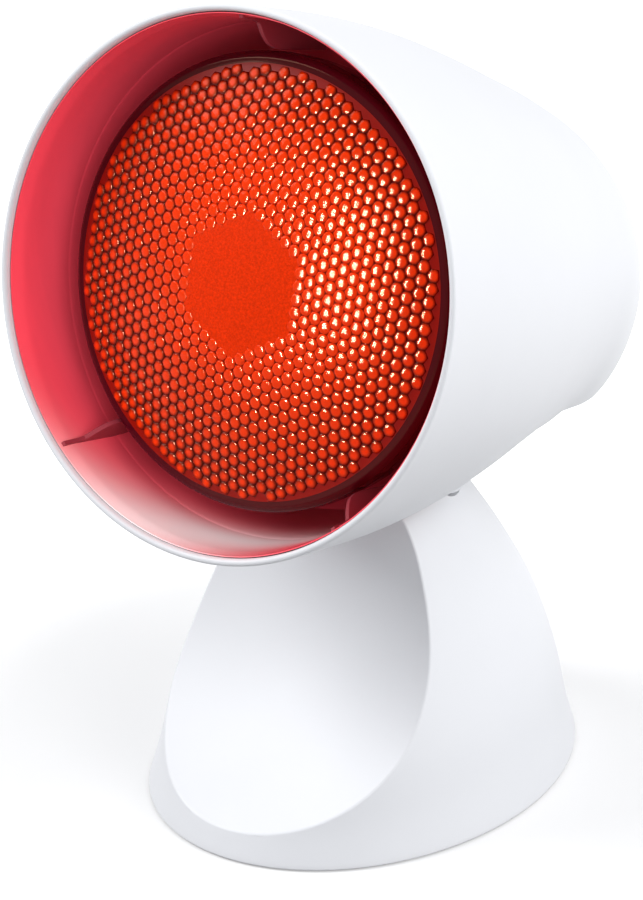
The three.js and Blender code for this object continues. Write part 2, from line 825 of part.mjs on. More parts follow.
// Frame: two arms from the hinge ears to a back plate behind the holder
function armOutline() {
  const ear_y = pivot_depth;
  const ear_z = -pivot_drop;
  const shape = new THREE.Shape();
  shape.absarc(ear_y, ear_z, ear_radius, ear_arc_start, ear_arc_end, false);
  shape.lineTo(arm_knee_depth, -arm_bottom - arm_top);
  shape.lineTo(frame_plate_back, -arm_bottom);
  shape.lineTo(frame_plate_back, arm_top);
  shape.lineTo(frame_plate_front - arm_top, arm_top);
  shape.lineTo(arm_knee_depth, -arm_top / 2);
  return shape;
}

function frameBody() {
  const arms = [-1, 1].map((side) => {
    const near = side < 0 ? -ear_outer : ear_inner;
    return sideways(armOutline(), near, near + frame_sheet, around_small);
  });
  const plate = block(-ear_outer, ear_outer, frame_plate_front, frame_plate_back, -arm_bottom, arm_top);
  const skirt = block(
    -plate_half_width, plate_half_width,
    frame_plate_front, frame_plate_back,
    -plate_bottom, arm_top,
  );
  const reach = ear_outer + overrun;
  let frame = arms[0].add(arms[1]).add(plate).add(skirt);
  frame = frame.subtract(bar('x', bolt_bore, -reach, reach, pivot_depth, -pivot_drop, around_small));
  const hole = screw_radius + seat_gap;
  [-1, 1].forEach((side) => {
    const from = frame_plate_front - overrun;
    const to = frame_plate_back + overrun;
    frame = frame.subtract(bar('y', hole, from, to, side * frame_boss_x, -frame_boss_z, around_small));
    frame = frame.subtract(bar('y', hole, from, to, side * holder_screw_x, 0, around_small));
  });
  return frame;
}
addPiece(head, 'head_frame', frameBody(), [0xaeb3b8, 0.35, 1]);

// Pan-head screw along Y: the head's seat, the way it points, and its place
function screwY(seat, way, x, z) {
  const head_end = seat - way * screw_head_height;
  const tip = seat + way * screw_length;
  const rows = [
    [0, head_end], [screw_head_radius * screw_crown_share, head_end],
    [screw_head_radius, seat - way * screw_head_height / 2],
    [screw_head_radius, seat], [screw_radius, seat], [screw_radius, tip], [0, tip],
  ];
  const profile = rows.map(([radius, depth]) => new THREE.Vector2(radius, depth));
  return solid(new THREE.LatheGeometry(profile, around_small).translate(x, 0, z));
}
['left', 'right'].forEach((name, k) => {
  const side = 2 * k - 1;
  const steel = [0xb8bcc2, 0.3, 1];
  const frame_seat = frame_plate_front - seat_gap;
  const holder_seat = frame_plate_back + seat_gap;
  addPiece(head, `frame_screw_${name}`, screwY(frame_seat, 1, side * frame_boss_x, -frame_boss_z), steel);
  addPiece(head, `holder_screw_${name}`, screwY(holder_seat, -1, side * holder_screw_x, 0), steel);
});

// Hinge hardware
function boltBody() {
  const seat = -ear_outer - seat_gap;
  const crown = seat - bolt_head_height;
  const shank_end = ear_outer + seat_gap + nut_height;
  const cap = bar('x', bolt_head_radius, crown, seat, pivot_depth, -pivot_drop, around_small);
  const shank = bar('x', bolt_radius, (crown + seat) / 2, shank_end, pivot_depth, -pivot_drop, around_small);
  return cap.add(shank);
}
addPiece(head, 'pivot_bolt', boltBody(), [0xb4b8bd, 0.3, 1]);

function nutBody() {
  const from = ear_outer + seat_gap;
  const to = from + nut_height;
  const hexagon = bar('x', nut_radius, from, to, pivot_depth, -pivot_drop, hexagon_sides);
  const bore = bar('x', bolt_bore, from - overrun, to + overrun, pivot_depth, -pivot_drop, around_small);
  return hexagon.subtract(bore);
}
addPiece(head, 'pivot_nut', nutBody(), [0xb4b8bd, 0.3, 1]);

['left', 'right'].forEach((name, k) => {
  const from = k === 0 ? -barrel_half_length - seat_gap - washer_thickness : barrel_half_length + seat_gap;
  const to = from + washer_thickness;
  const ring = bar('x', washer_radius, from, to, pivot_depth, -pivot_drop, around_socket);
  const bore = bar('x', bolt_bore, from - overrun, to + overrun, pivot_depth, -pivot_drop, around_small);
  addPiece(head, `hinge_washer_${name}`, ring.subtract(bore), [0x3a3c40, 0.5, 0]);
});

// Click wheel: one notch for each tilt, over a leaf spring in the neck
function wheelBody() {
  const half = wheel_half_width;
  const reach = half + overrun;
  let wheel = bar('x', wheel_radius, -half, half, pivot_depth, -pivot_drop, around_joint);
  wheel = wheel.subtract(bar('x', bolt_bore, -reach, reach, pivot_depth, -pivot_drop, around_small));
  for (let i = 0; i < click_positions; i += 1) {
    const turn = (i - (click_positions - 1) / 2) * click_step - Math.PI / 2 + rest_tilt;
    const y = pivot_depth + wheel_radius * Math.cos(turn);
    const z = -pivot_drop + wheel_radius * Math.sin(turn);
    wheel = wheel.subtract(bar('x', click_radius, -reach, reach, y, z, around_notch));
  }
  return wheel;
}
addPiece(head, 'click_wheel', wheelBody(), [0xd8d2c4, 0.5, 0]);

// Stand
function standHalfWidthAt(height) {
  return stand_half_width * smoothAt(stand_section_shares, 1, height / stand_taper_height);
}

function standHalfDepthAt(height) {
  return stand_half_depth * smoothAt(stand_section_shares, 2, height / stand_taper_height);
}

function standCentreAt(height) {
  return stand_half_depth * smoothAt(stand_section_shares, 3, height / stand_taper_height);
}

// The stand's oval body moved inwards by an inset, between two heights
function standFilled(inset, bottom, top, rings = stand_rings) {
  const rows = [[0, bottom]];
  for (let i = 0; i <= rings; i += 1) {
    rows.push([1, bottom + (top - bottom) * i / rings]);
  }
  rows.push([0, top]);
  const profile = rows.map(([radius, height]) => new THREE.Vector2(radius, height));
  const geometry = new THREE.LatheGeometry(profile, around_stand).rotateX(Math.PI / 2);
  const corners = geometry.attributes.position;
  for (let i = 0; i < corners.count; i += 1) {
    const height = corners.getZ(i);
    corners.setX(i, corners.getX(i) * (standHalfWidthAt(height) - inset));
    corners.setY(i, corners.getY(i) * (standHalfDepthAt(height) - inset) + standCentreAt(height));
  }
  return solid(geometry);
}

function cove(extra) {
  const reach = stand_half_width + overrun;
  return bar('x', cove_radius + extra, -reach, reach, cove_y, cove_z, around_cove);
}

// The flat seat of the switch, as a frame whose Y axis points out of the back of the stand
const switch_seat_y = standCentreAt(switch_height) + standHalfDepthAt(switch_height) - bezel_thickness;
const switch_frame = new THREE.Matrix4()
  .makeTranslation(0, switch_seat_y, switch_height)
  .multiply(new THREE.Matrix4().makeRotationX(switch_slope));

function atSwitch(body) {
  return solid(shapeOf(body).applyMatrix4(switch_frame));
}

function screwBosses(outside) {
  const bottom = plate_lift + plate_thickness + seat_gap;
  const pilot_radius = screw_radius + seat_gap;
  let posts = null;
  [boss_front_y, boss_rear_y].forEach((y) => {
    [-boss_x, boss_x].forEach((x) => {
      const post = bar('z', boss_radius, bottom, pivot_height, x, y, around_small).intersect(outside);
      const pilot = bar('z', pilot_radius, bottom - overrun, bottom + pilot_depth, x, y, around_small);
      const drilled = post.subtract(pilot);
      posts = posts ? posts.add(drilled) : drilled;
    });
  });
  return posts;
}

function standShell() {
  const outer = standFilled(0, stand_lift, stand_top).subtract(cove(0));
  const hollow = standFilled(stand_wall, -overrun, neck_void_top).subtract(cove(stand_wall));
  const mid_wall = standFilled(stand_wall / 2, stand_lift, stand_top).subtract(cove(stand_wall / 2));
  let shell = outer.subtract(hollow).add(screwBosses(mid_wall));
  const pad = atSwitch(block(
    -bezel_half_width - pad_margin, bezel_half_width + pad_margin,
    -pad_depth, overrun,
    -bezel_half_height - pad_margin, bezel_half_height + pad_margin,
  ));
  shell = shell.add(pad.intersect(outer));
  const half = barrel_half_length;
  shell = shell.add(bar('x', barrel_radius, -half, half, pivot_y, pivot_height, around_joint));
  const ear_room = ear_radius + 2 * running_gap;
  [-1, 1].forEach((side) => {
    const from = side < 0 ? -stand_half_width : half;
    const to = side < 0 ? -half : stand_half_width;
    shell = shell.subtract(bar('x', ear_room, from, to, pivot_y, pivot_height, around_joint));
  });
  const reach = half + overrun;
  shell = shell.subtract(bar('x', bolt_bore, -reach, reach, pivot_y, pivot_height, around_small));
  const well = wheel_half_width + running_gap;
  const well_radius = wheel_radius + running_gap;
  shell = shell.subtract(bar('x', well_radius, -well, well, pivot_y, pivot_height, around_joint));
  shell = shell.subtract(block(
    -well, well,
    pivot_y - click_spring_length / 2 - running_gap, pivot_y + click_spring_length / 2 + running_gap,
    neck_void_top - overrun, pivot_height - wheel_radius,
  ));
  shell = shell.subtract(atSwitch(block(
    -bezel_half_width - seat_gap, bezel_half_width + seat_gap,
    0, pad_depth + overrun,
    -bezel_half_height - seat_gap, bezel_half_height + seat_gap,
  )));
  shell = shell.subtract(atSwitch(block(
    -switch_box_half_width - seat_gap, switch_box_half_width + seat_gap,
    -pad_depth - overrun, overrun,
    -switch_box_half_height - seat_gap, switch_box_half_height + seat_gap,
  )));
  const face = glandFace();
  const flange = gland_flange_radius + seat_gap;
  const neck = gland_neck_radius + seat_gap;
  shell = shell.subtract(bar('y', flange, face, face + stand_half_depth, 0, gland_height, around_holder));
  const inside = face - pad_depth - overrun;
  shell = shell.subtract(bar('y', neck, inside, face + overrun, 0, gland_height, around_holder));
  return shell;
}

// The flat face that the gland's flange sits on
function glandFace() {
  return standCentreAt(gland_height) + standHalfDepthAt(gland_height) - gland_pocket_depth;
}
addPiece(stand, 'stand_shell', standShell(), [0xf2f3f6, 0.35, 0]);

// Base plate with foot sockets, screw holes and two pegs for the ballast
const plate_top = plate_lift + plate_thickness;
const foot_places = [
  ['front_left', -1, -1], ['front_right', 1, -1], ['rear_left', -1, 1], ['rear_right', 1, 1],
];

function basePlate() {
  let plate = standFilled(stand_wall + seat_gap, plate_lift, plate_top, 1);
  const peg_foot = plate_top - plate_thickness / 2;
  const peg_top = plate_top + peg_height;
  [-peg_y, peg_y].forEach((y) => {
    plate = plate.add(bar('z', peg_radius, peg_foot, peg_top, 0, y + ballastMiddle(), around_small));
  });
  const below = plate_lift - overrun;
  const hole = screw_radius + seat_gap;
  const recess = screw_head_radius + seat_gap;
  const socket = foot_radius + seat_gap;
  foot_places.forEach(([, side, end]) => {
    const x = side * boss_x;
    const y = end < 0 ? boss_front_y : boss_rear_y;
    const socket_top = plate_lift + foot_socket;
    const head_top = plate_lift + screw_head_height;
    plate = plate.subtract(bar('z', socket, below, socket_top, side * foot_x, end * foot_y, around_socket));
    plate = plate.subtract(bar('z', hole, below, plate_top + overrun, x, y, around_small));
    plate = plate.subtract(bar('z', recess, below, head_top, x, y, around_small));
  });
  return plate;
}

function ballastMiddle() {
  return (ballast_front + ballast_rear) / 2;
}
addPiece(stand, 'base_plate', basePlate(), [0xe4e5e9, 0.5, 0]);

function ballastBody() {
  const bottom = plate_top + seat_gap;
  const top = bottom + ballast_thickness;
  const half = ballast_half_width;
  const hole = peg_radius + seat_gap;
  const outline = roundedOutline(-half, half, ballast_front, ballast_rear, ballast_corner);
  let weight = upright(outline, bottom, top, corner_steps);
  [-peg_y, peg_y].forEach((y) => {
    const place = y + ballastMiddle();
    weight = weight.subtract(bar('z', hole, bottom - overrun, top + overrun, 0, place, around_small));
  });
  return weight;
}
addPiece(stand, 'ballast_weight', ballastBody(), [0x55585c, 0.6, 1]);

foot_places.forEach(([name, side, end]) => {
  const top = plate_lift + foot_socket - seat_gap;
  const pad = turnedUp([
    [0, 0], [foot_radius - foot_socket / 2, 0], [foot_radius, foot_socket / 2], [foot_radius, top], [0, top],
  ], around_socket);
  addPiece(stand, `foot_${name}`, pad, [0x2c2d30, 0.9, 0]).position.set(side * foot_x, end * foot_y, 0);
});

foot_places.forEach(([name, side, end]) => {
  const seat = plate_lift + screw_head_height - seat_gap;
  const bottom = seat - screw_head_height + seat_gap;
  const screw = turnedUp([
    [0, bottom], [screw_head_radius * screw_crown_share, bottom], [screw_head_radius, (bottom + seat) / 2],
    [screw_head_radius, seat], [screw_radius, seat],
    [screw_radius, seat + pilot_depth], [0, seat + pilot_depth],
  ], around_small);
  const y = end < 0 ? boss_front_y : boss_rear_y;
  addPiece(stand, `base_screw_${name}`, screw, [0xb8bcc2, 0.3, 1]).position.set(side * boss_x, y, 0);
});

// Leaf spring under the click wheel, with a nib that meets the notches
function clickSpring() {
  const top = -wheel_radius - running_gap;
  const half = click_spring_length / 2;
  const nib = click_radius * 2;
  const shape = new THREE.Shape();
  shape.moveTo(-half, top - nib - click_spring_sheet);
  shape.lineTo(half, top - nib - click_spring_sheet);
  shape.lineTo(half, top - nib);
  shape.lineTo(nib, top - nib);
  shape.absarc(0, top - click_radius, click_radius, 0, Math.PI, false);
  shape.lineTo(-nib, top - nib);
  shape.lineTo(-half, top - nib);
  return sideways(shape, -click_spring_width / 2, click_spring_width / 2, nib_steps);
}
addPiece(stand, 'click_spring', clickSpring(), [0xc0c4c8, 0.3, 1]).position.set(0, pivot_y, pivot_height);

// Rocker switch: bezel and box in one body, two terminal blades and the rocker
const switch_group = new THREE.Group();
switch_group.applyMatrix4(switch_frame);
stand.add(switch_group);

function switchBody() {
  const bezel = block(
    -bezel_half_width, bezel_half_width,
    seat_gap, bezel_thickness + seat_gap,
    -bezel_half_height, bezel_half_height,
  );
  const box = block(
    -switch_box_half_width, switch_box_half_width,
    -switch_box_depth, bezel_thickness,
    -switch_box_half_height, switch_box_half_height,
  );
  const pocket = block(
    -pocket_half_width, pocket_half_width,
    -rocker_sink - rocker_half_height - running_gap, bezel_thickness + overrun,
    -rocker_half_height - running_gap * 2, rocker_half_height + running_gap * 2,
  );
  return bezel.add(box).subtract(pocket);
}
addPiece(switch_group, 'switch_body', switchBody(), [0xdfe0e4, 0.4, 0]);

['lower', 'upper'].forEach((name, k) => {
  const z = (2 * k - 1) * blade_z;
  const front = -switch_box_depth - seat_gap;
  addPiece(switch_group, `switch_blade_${name}`, block(
    -blade_half_width, blade_half_width,
    front - blade_length, front,
    z - blade_thickness / 2, z + blade_thickness / 2,
  ), [0xcdb67a, 0.3, 1]);
});

// The rocker turns about a line inside the box; its ends are round about that line
function rockerBody() {
  const reach = rocker_half_height;
  const shape = new THREE.Shape();
  const rise = rocker_sink + rocker_rise + bezel_thickness;
  const shoulder = rise * rocker_shoulder_share;
  const tip = reach * rocker_tip_share;
  shape.moveTo(0, rise - rocker_rise);
  shape.lineTo(-tip, rise);
  shape.lineTo(-reach, shoulder);
  shape.lineTo(-reach, 0);
  shape.absarc(0, 0, reach, Math.PI, 2 * Math.PI, false);
  shape.lineTo(reach, shoulder);
  shape.lineTo(tip, rise);
  const plate = new THREE.ExtrudeGeometry(shape, {
    depth: 2 * rocker_half_width,
    bevelEnabled: false,
    curveSegments: around_small,
  });
  plate.applyMatrix4(new THREE.Matrix4().makeBasis(
    new THREE.Vector3(0, 0, 1),
    new THREE.Vector3(0, 1, 0),
    new THREE.Vector3(-1, 0, 0),
  ));
  plate.translate(rocker_half_width, 0, 0);
  return solid(plate);
}
const rocker = addPiece(switch_group, 'switch_rocker', rockerBody(), [0xd9dadf, 0.35, 0]);
rocker.position.set(0, -rocker_sink, 0);
rocker.rotation.x = -rocker_rest_tilt;

// Cord gland: a flanged bush with a stepped tail inside
function glandBody() {
  const face = seat_gap;
  const back = face + gland_flange;
  const tail = -gland_tail - pad_depth;
  return turned([
    [gland_bore, tail], [gland_neck_radius * gland_tail_share, tail],
    [gland_neck_radius, -pad_depth], [gland_neck_radius, face],
    [gland_flange_radius, face], [gland_flange_radius * gland_edge_share, back],
    [gland_bore, back], [gland_bore, tail],
  ], around_holder);
}
addPiece(stand, 'cord_gland', glandBody(), [0x3a3b3f, 0.7, 0]).position.set(0, glandFace(), gland_height);

// The origin is on the floor under the middle of the whole lamp
const whole = new THREE.Box3().setFromObject(lamp, true);
lamp.position.y = -(whole.min.y + whole.max.y) / 2;
lamp.updateMatrixWorld(true);

export default lamp;
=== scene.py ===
import bpy
import bmesh
import json
import math
from mathutils import Matrix, Vector


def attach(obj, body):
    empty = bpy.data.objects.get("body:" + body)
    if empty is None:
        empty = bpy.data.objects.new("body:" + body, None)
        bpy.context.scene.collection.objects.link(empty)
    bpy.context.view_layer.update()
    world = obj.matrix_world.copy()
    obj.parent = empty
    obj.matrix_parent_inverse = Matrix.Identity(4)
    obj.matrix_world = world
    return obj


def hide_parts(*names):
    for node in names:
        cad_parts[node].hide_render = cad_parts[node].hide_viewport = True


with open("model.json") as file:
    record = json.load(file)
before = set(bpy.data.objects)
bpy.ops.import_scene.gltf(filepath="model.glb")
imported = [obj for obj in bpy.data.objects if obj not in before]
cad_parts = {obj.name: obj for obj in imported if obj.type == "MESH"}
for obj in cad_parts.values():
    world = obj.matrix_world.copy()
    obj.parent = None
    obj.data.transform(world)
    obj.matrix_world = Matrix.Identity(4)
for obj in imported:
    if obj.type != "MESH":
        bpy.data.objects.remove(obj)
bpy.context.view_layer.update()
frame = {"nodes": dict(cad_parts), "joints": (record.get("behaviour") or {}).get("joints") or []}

# Stand: one shell, injection-moulded in cool white plastic, oval in plan and narrowing to a neck. A hollow
# cove is sunk in its front for the hood to dip into, and the neck ends in the hinge barrel. Four drilled
# posts inside take the screws of the base plate.
hinge = next(joint for joint in frame["joints"] if joint["name"] == "head_tilt")
hinge_pin = Vector(hinge["pos_m"])

# It is drawn in millimetres from the middle of its footprint, which lies ahead of and below the hinge pin.
barrel_y, barrel_z = 2, 101
footprint = hinge_pin - Vector((0, barrel_y / 1000, barrel_z / 1000))
stand_place = Matrix.Translation(footprint) @ Matrix.Scale(0.001, 4)
stand_height, stand_half_width, stand_half_depth, stand_wall = 90, 57.4, 75.6, 2.4

# Each row gives a height, half width, half depth and how far back the middle lies, as shares of those sizes.
stand_rows = [(0, 0.988, 0.986, -0.012), (0.133, 0.943, 0.925, -0.014), (0.333, 0.878, 0.866, -0.021),
              (0.556, 0.77, 0.768, -0.036), (0.778, 0.636, 0.62, -0.064), (1, 0.496, 0.44, -0.1),
              (1.06, 0.45, 0.3, -0.02), (1.1, 0.43, 0.23, 0), (1.15, 0.41, 0.17, 0.02)]


def eased(rows, column, along):
    """One column of the rows, read off a smooth curve through them."""
    k = 0
    while k < len(rows) - 2 and along > rows[k + 1][0]:
        k += 1

    def slope(i):
        a, b = max(i - 1, 0), min(i + 1, len(rows) - 1)
        return (rows[b][column] - rows[a][column]) / (rows[b][0] - rows[a][0])

    step = rows[k + 1][0] - rows[k][0]
    t = (along - rows[k][0]) / step
    rise = (rows[k + 1][column] - rows[k][column]) * t * t * (3 - 2 * t)
    return rows[k][column] + rise + t * (1 - t) * step * (slope(k) * (1 - t) - slope(k + 1) * t)


def spun(profile, steps, axis, closed=False):
    """A profile of (radius, along) turned a full round about Y or Z. A closed one is joined back to its start."""
    shape = bmesh.new()
    spots = [(r, a, 0) if axis == "Y" else (r, 0, a) for r, a in profile]
    points = [shape.verts.new(spot) for spot in spots]
    pairs = list(zip(points, points[1:]))
    if closed:
        pairs.append((points[-1], points[0]))
    lines = [shape.edges.new(pair) for pair in pairs]
    turn_axis = (0, 1, 0) if axis == "Y" else (0, 0, 1)
    bmesh.ops.spin(shape, geom=points + lines, cent=(0, 0, 0), axis=turn_axis, dvec=(0, 0, 0),
                   angle=2 * math.pi, steps=steps, use_merge=True, use_duplicate=False)
    bmesh.ops.remove_doubles(shape, verts=shape.verts, dist=0.0005)
    bmesh.ops.recalc_face_normals(shape, faces=shape.faces)
    return shape


def stand_solid(inset, bottom, top, foot_round):
    """The stand's outer form between two heights, drawn in by an inset. Its foot can have a rounded edge."""
    rings = 64
    heights = [bottom + (top - bottom) * i / rings for i in range(rings + 1)]
    heights[1:1] = [bottom + foot_round * s for s in (0.15, 0.4, 0.75) if foot_round]
    shape = spun([(0, bottom)] + [(1, h) for h in heights] + [(0, top)], 200, "Z")
    for v in shape.verts:
        h, share = v.co.z, v.co.z / stand_height
        low = min(max(1 - (h - bottom) / foot_round, 0), 1) if foot_round else 0
        pinch = inset + foot_round * (1 - math.sqrt(1 - low * low))
        v.co.x *= stand_half_width * eased(stand_rows, 1, share) - pinch
        half_depth = stand_half_depth * eased(stand_rows, 2, share) - pinch
        v.co.y = v.co.y * half_depth + stand_half_depth * eased(stand_rows, 3, share)
    return shape


def bar(axis, radius, start, end, u, v, steps=96):
    """A round bar along X, Y or Z. u and v are its place across the other two."""
    turn, middle = {"x": (Matrix.Rotation(math.pi / 2, 4, "Y"), ((start + end) / 2, u, v)),
                    "y": (Matrix.Rotation(math.pi / 2, 4, "X"), (u, (start + end) / 2, v)),
                    "z": (Matrix.Identity(4), (u, v, (start + end) / 2))}[axis]
    shape = bmesh.new()
    bmesh.ops.create_cone(shape, cap_ends=True, segments=steps, radius1=radius, radius2=radius,
                          depth=end - start, matrix=Matrix.Translation(middle) @ turn)
    return shape


def box(x0, x1, y0, y1, z0, z1):
    shape = bmesh.new()
    middle = Matrix.Translation(((x0 + x1) / 2, (y0 + y1) / 2, (z0 + z1) / 2))
    bmesh.ops.create_cube(shape, size=1, matrix=middle @ Matrix.Diagonal((x1 - x0, y1 - y0, z1 - z0, 1)))
    return shape


def combined(shape, tool, how):
    """The first solid joined with the second, or cut by it."""
    pair = []
    for solid in (shape, tool):
        mesh = bpy.data.meshes.new("blank")
        solid.to_mesh(mesh)
        solid.free()
        pair.append(bpy.data.objects.new("blank", mesh))
        bpy.context.scene.collection.objects.link(pair[-1])
    step = pair[0].modifiers.new("step", "BOOLEAN")
    step.operation, step.solver, step.object = how, "EXACT", pair[1]
    whole = pair[0].evaluated_get(bpy.context.evaluated_depsgraph_get())
    result = bmesh.new()
    result.from_mesh(whole.to_mesh())
    whole.to_mesh_clear()
    for blank in pair:
        mesh = blank.data
        bpy.data.objects.remove(blank)
        bpy.data.meshes.remove(mesh)
    return result


def softened(shape, width, steps, picked, least):
    """Rounds the edges sharper than least degrees that the picked function accepts. Points of the smooth faces
    that lie closer to them than the rounding is wide are taken out first."""
    bmesh.ops.remove_doubles(shape, verts=shape.verts, dist=0.08)
    bmesh.ops.dissolve_degenerate(shape, edges=shape.edges, dist=0.01)

    def sharp_edges():
        return [e for e in shape.edges if e.calc_face_angle(0) > math.radians(least) and picked(e)]

    def smooth(v):
        return all(e.calc_face_angle(math.pi) < math.radians(least) for e in v.link_edges)

    along = {v for e in sharp_edges() for v in e.verts}
    too_near = width * 1.3
    beside = {e.other_vert(v) for v in along for e in v.link_edges if e.calc_length() < too_near} - along
    bmesh.ops.dissolve_verts(shape, verts=[v for v in shape.verts if v in beside and smooth(v)])
    along = {v for e in sharp_edges() for v in e.verts}
    bmesh.ops.remove_doubles(shape, verts=[v for v in shape.verts if v in along], dist=width * 0.5)
    bmesh.ops.bevel(shape, geom=sharp_edges(), offset=width, offset_type="OFFSET", segments=steps, profile=0.5,
                    affect="EDGES", clamp_overlap=False, material=-1)
    return shape


def piece(name, shape, place, materials, body, nodes=(), crease=50):
    """A finished piece: its object sits at the origin and rides on a body of the frame."""
    bmesh.ops.transform(shape, matrix=place, verts=shape.verts)
    mesh = bpy.data.meshes.new(name)
    shape.to_mesh(mesh)
    shape.free()
    for material in materials:
        mesh.materials.append(material)
    mesh.shade_smooth()
    mesh.set_sharp_from_angle(angle=math.radians(crease))
    made = bpy.data.objects.new(name, mesh)
    bpy.context.scene.collection.objects.link(made)
    even = made.modifiers.new("even shading", "WEIGHTED_NORMAL")
    even.keep_sharp = True
    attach(made, body)
    if nodes:
        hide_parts(*nodes)


def finish_of(name, colour, rough, metal=0.0, coat=0.0, grain=0.0, grain_scale=900, drift=0.03, uneven=0.05,
              gloss_level=0.5, coat_rough=0.1, stretch=(1, 1, 1), drift_scale=22):
    """A surface with a faint drift in its colour, an uneven sheen and a fine grain."""
    material = bpy.data.materials.new(name)
    material.use_nodes = True
    nodes, links = material.node_tree.nodes, material.node_tree.links
    shader = nodes["Principled BSDF"]
    shader.inputs["Metallic"].default_value = metal
    shader.inputs["Coat Weight"].default_value = coat
    shader.inputs["Coat Roughness"].default_value = coat_rough
    shader.inputs["Specular IOR Level"].default_value = gloss_level
    spot = nodes.new("ShaderNodeTexCoord")
    span = nodes.new("ShaderNodeMapping")
    span.inputs["Scale"].default_value = stretch
    links.new(spot.outputs["Object"], span.inputs["Vector"])
    cloud = nodes.new("ShaderNodeTexNoise")
    cloud.inputs["Scale"].default_value = drift_scale
    cloud.inputs["Detail"].default_value = 4
    links.new(span.outputs["Vector"], cloud.inputs["Vector"])
    tint = nodes.new("ShaderNodeValToRGB")
    tint.color_ramp.elements[0].position = 0.3
    tint.color_ramp.elements[1].position = 0.7
    tint.color_ramp.elements[0].color = tuple(c * (1 - drift) for c in colour) + (1,)
    tint.color_ramp.elements[1].color = tuple(min(c * (1 + drift), 1) for c in colour) + (1,)
    links.new(cloud.outputs["Fac"], tint.inputs["Fac"])
    links.new(tint.outputs["Color"], shader.inputs["Base Color"])
    sheen = nodes.new("ShaderNodeMapRange")
    sheen.inputs["To Min"].default_value = max(rough - uneven, 0.02)
    sheen.inputs["To Max"].default_value = rough + uneven
    links.new(cloud.outputs["Fac"], sheen.inputs["Value"])
    links.new(sheen.outputs["Result"], shader.inputs["Roughness"])
    if grain:
        fine = nodes.new("ShaderNodeTexNoise")
        fine.inputs["Scale"].default_value = grain_scale
        fine.inputs["Detail"].default_value = 3
        links.new(span.outputs["Vector"], fine.inputs["Vector"])
        relief = nodes.new("ShaderNodeBump")
        relief.inputs["Strength"].default_value = grain
        relief.inputs["Distance"].default_value = 0.0002
        links.new(fine.outputs["Fac"], relief.inputs["Height"])
        links.new(relief.outputs["Normal"], shader.inputs["Normal"])
    return material


white_plastic = finish_of("white plastic", (0.8, 0.81, 0.835), 0.48, grain=0.06, drift=0.012, gloss_level=0.4)
foot_lift, foot_round, shell_top, inside_top = 0.4, 0.8, 103, 84
cove_radius, cove_y, cove_z, past_side = 79.7, -101.6, 82.2, 66
shell = combined(stand_solid(0, foot_lift, shell_top, foot_round),
                 bar("x", cove_radius, -past_side, past_side, cove_y, cove_z, 256), "DIFFERENCE")
shell = softened(shell, 0.55, 3, lambda e: all(
    abs(math.hypot(v.co.y - cove_y, v.co.z - cove_z) - cove_radius) < 0.12 for v in e.verts), 12)
hollow = combined(stand_solid(stand_wall, -4, inside_top, 0),
                  bar("x", cove_radius + stand_wall, -past_side, past_side, cove_y, cove_z, 256), "DIFFERENCE")
posts = ((-36, -28), (36, -28), (-36, 34), (36, 34))
post_radius, post_foot, pilot_radius, pilot_end = 4.2, 4.4, 1.8, 18.4
for post_x, post_y in posts:
    hollow = combined(hollow, bar("z", post_radius, post_foot, stand_height, post_x, post_y, 40), "DIFFERENCE")
shell = combined(shell, hollow, "DIFFERENCE")
for post_x, post_y in posts:
    shell = combined(shell, bar("z", pilot_radius, 0, pilot_end, post_x, post_y, 24), "DIFFERENCE")

# The neck is cut back beside the barrel for the frame's legs, bored for the bolt, and slotted for the click
# wheel and its spring.
barrel_radius, leg_room, neck_half, bolt_hole, wheel_room, slit_half = 10.5, 10.8, 23.9, 3.3, 8.6, 2.2
shell = combined(shell, bar("x", barrel_radius, -neck_half, neck_half, barrel_y, barrel_z), "UNION")
for ear_start, ear_end in ((-stand_half_width, -neck_half), (neck_half, stand_half_width)):
    shell = combined(shell, bar("x", leg_room, ear_start, ear_end, barrel_y, barrel_z), "DIFFERENCE")
shell = combined(shell, bar("x", bolt_hole, -28, 28, barrel_y, barrel_z, 48), "DIFFERENCE")
shell = combined(shell, bar("x", wheel_room, -slit_half, slit_half, barrel_y, barrel_z), "DIFFERENCE")
shell = combined(shell, box(-slit_half, slit_half, -10.4, 14.4, 80, 92.8), "DIFFERENCE")


def stand_back(height):
    """How far back the outside of the stand reaches at a height."""
    share = height / stand_height
    return stand_half_depth * (eased(stand_rows, 2, share) + eased(stand_rows, 3, share))


# The switch sits on a flat seat that slopes with the back of the stand, and the gland in a round pocket.
switch_height, gland_height, back_slope = 38, 15, math.radians(20)
switch_seat = stand_back(switch_height) - 1.6
switch_place = Matrix.Translation((0, switch_seat, switch_height)) @ Matrix.Rotation(back_slope, 4, "X")
gland_seat = stand_back(gland_height) - 2.2
pad = box(-9.9, 9.9, -6, 1.2, -12.9, 12.9)
bmesh.ops.transform(pad, matrix=switch_place, verts=pad.verts)
shell = combined(shell, combined(pad, stand_solid(0.4, foot_lift, inside_top, 0), "INTERSECT"), "UNION")
for seat_cut in (box(-7.8, 7.8, 0, 10, -10.8, 10.8), box(-6.7, 6.7, -10, 4, -9.5, 9.5)):
    bmesh.ops.transform(seat_cut, matrix=switch_place, verts=seat_cut.verts)
    shell = combined(shell, seat_cut, "DIFFERENCE")
shell = combined(shell, bar("y", 7.5, gland_seat, gland_seat + 60, 0, gland_height), "DIFFERENCE")
shell = combined(shell, bar("y", 5.7, gland_seat - 10, gland_seat + 4, 0, gland_height), "DIFFERENCE")
shell = softened(shell, 0.3, 2, lambda e: all(v.co.y > 20 and 5 < v.co.z < 60 for v in e.verts), 45)
bmesh.ops.holes_fill(shell, edges=[e for e in shell.edges if e.is_boundary], sides=8)
piece("stand_moulding", shell, stand_place, [white_plastic], "stand", ["stand_shell"], 40)

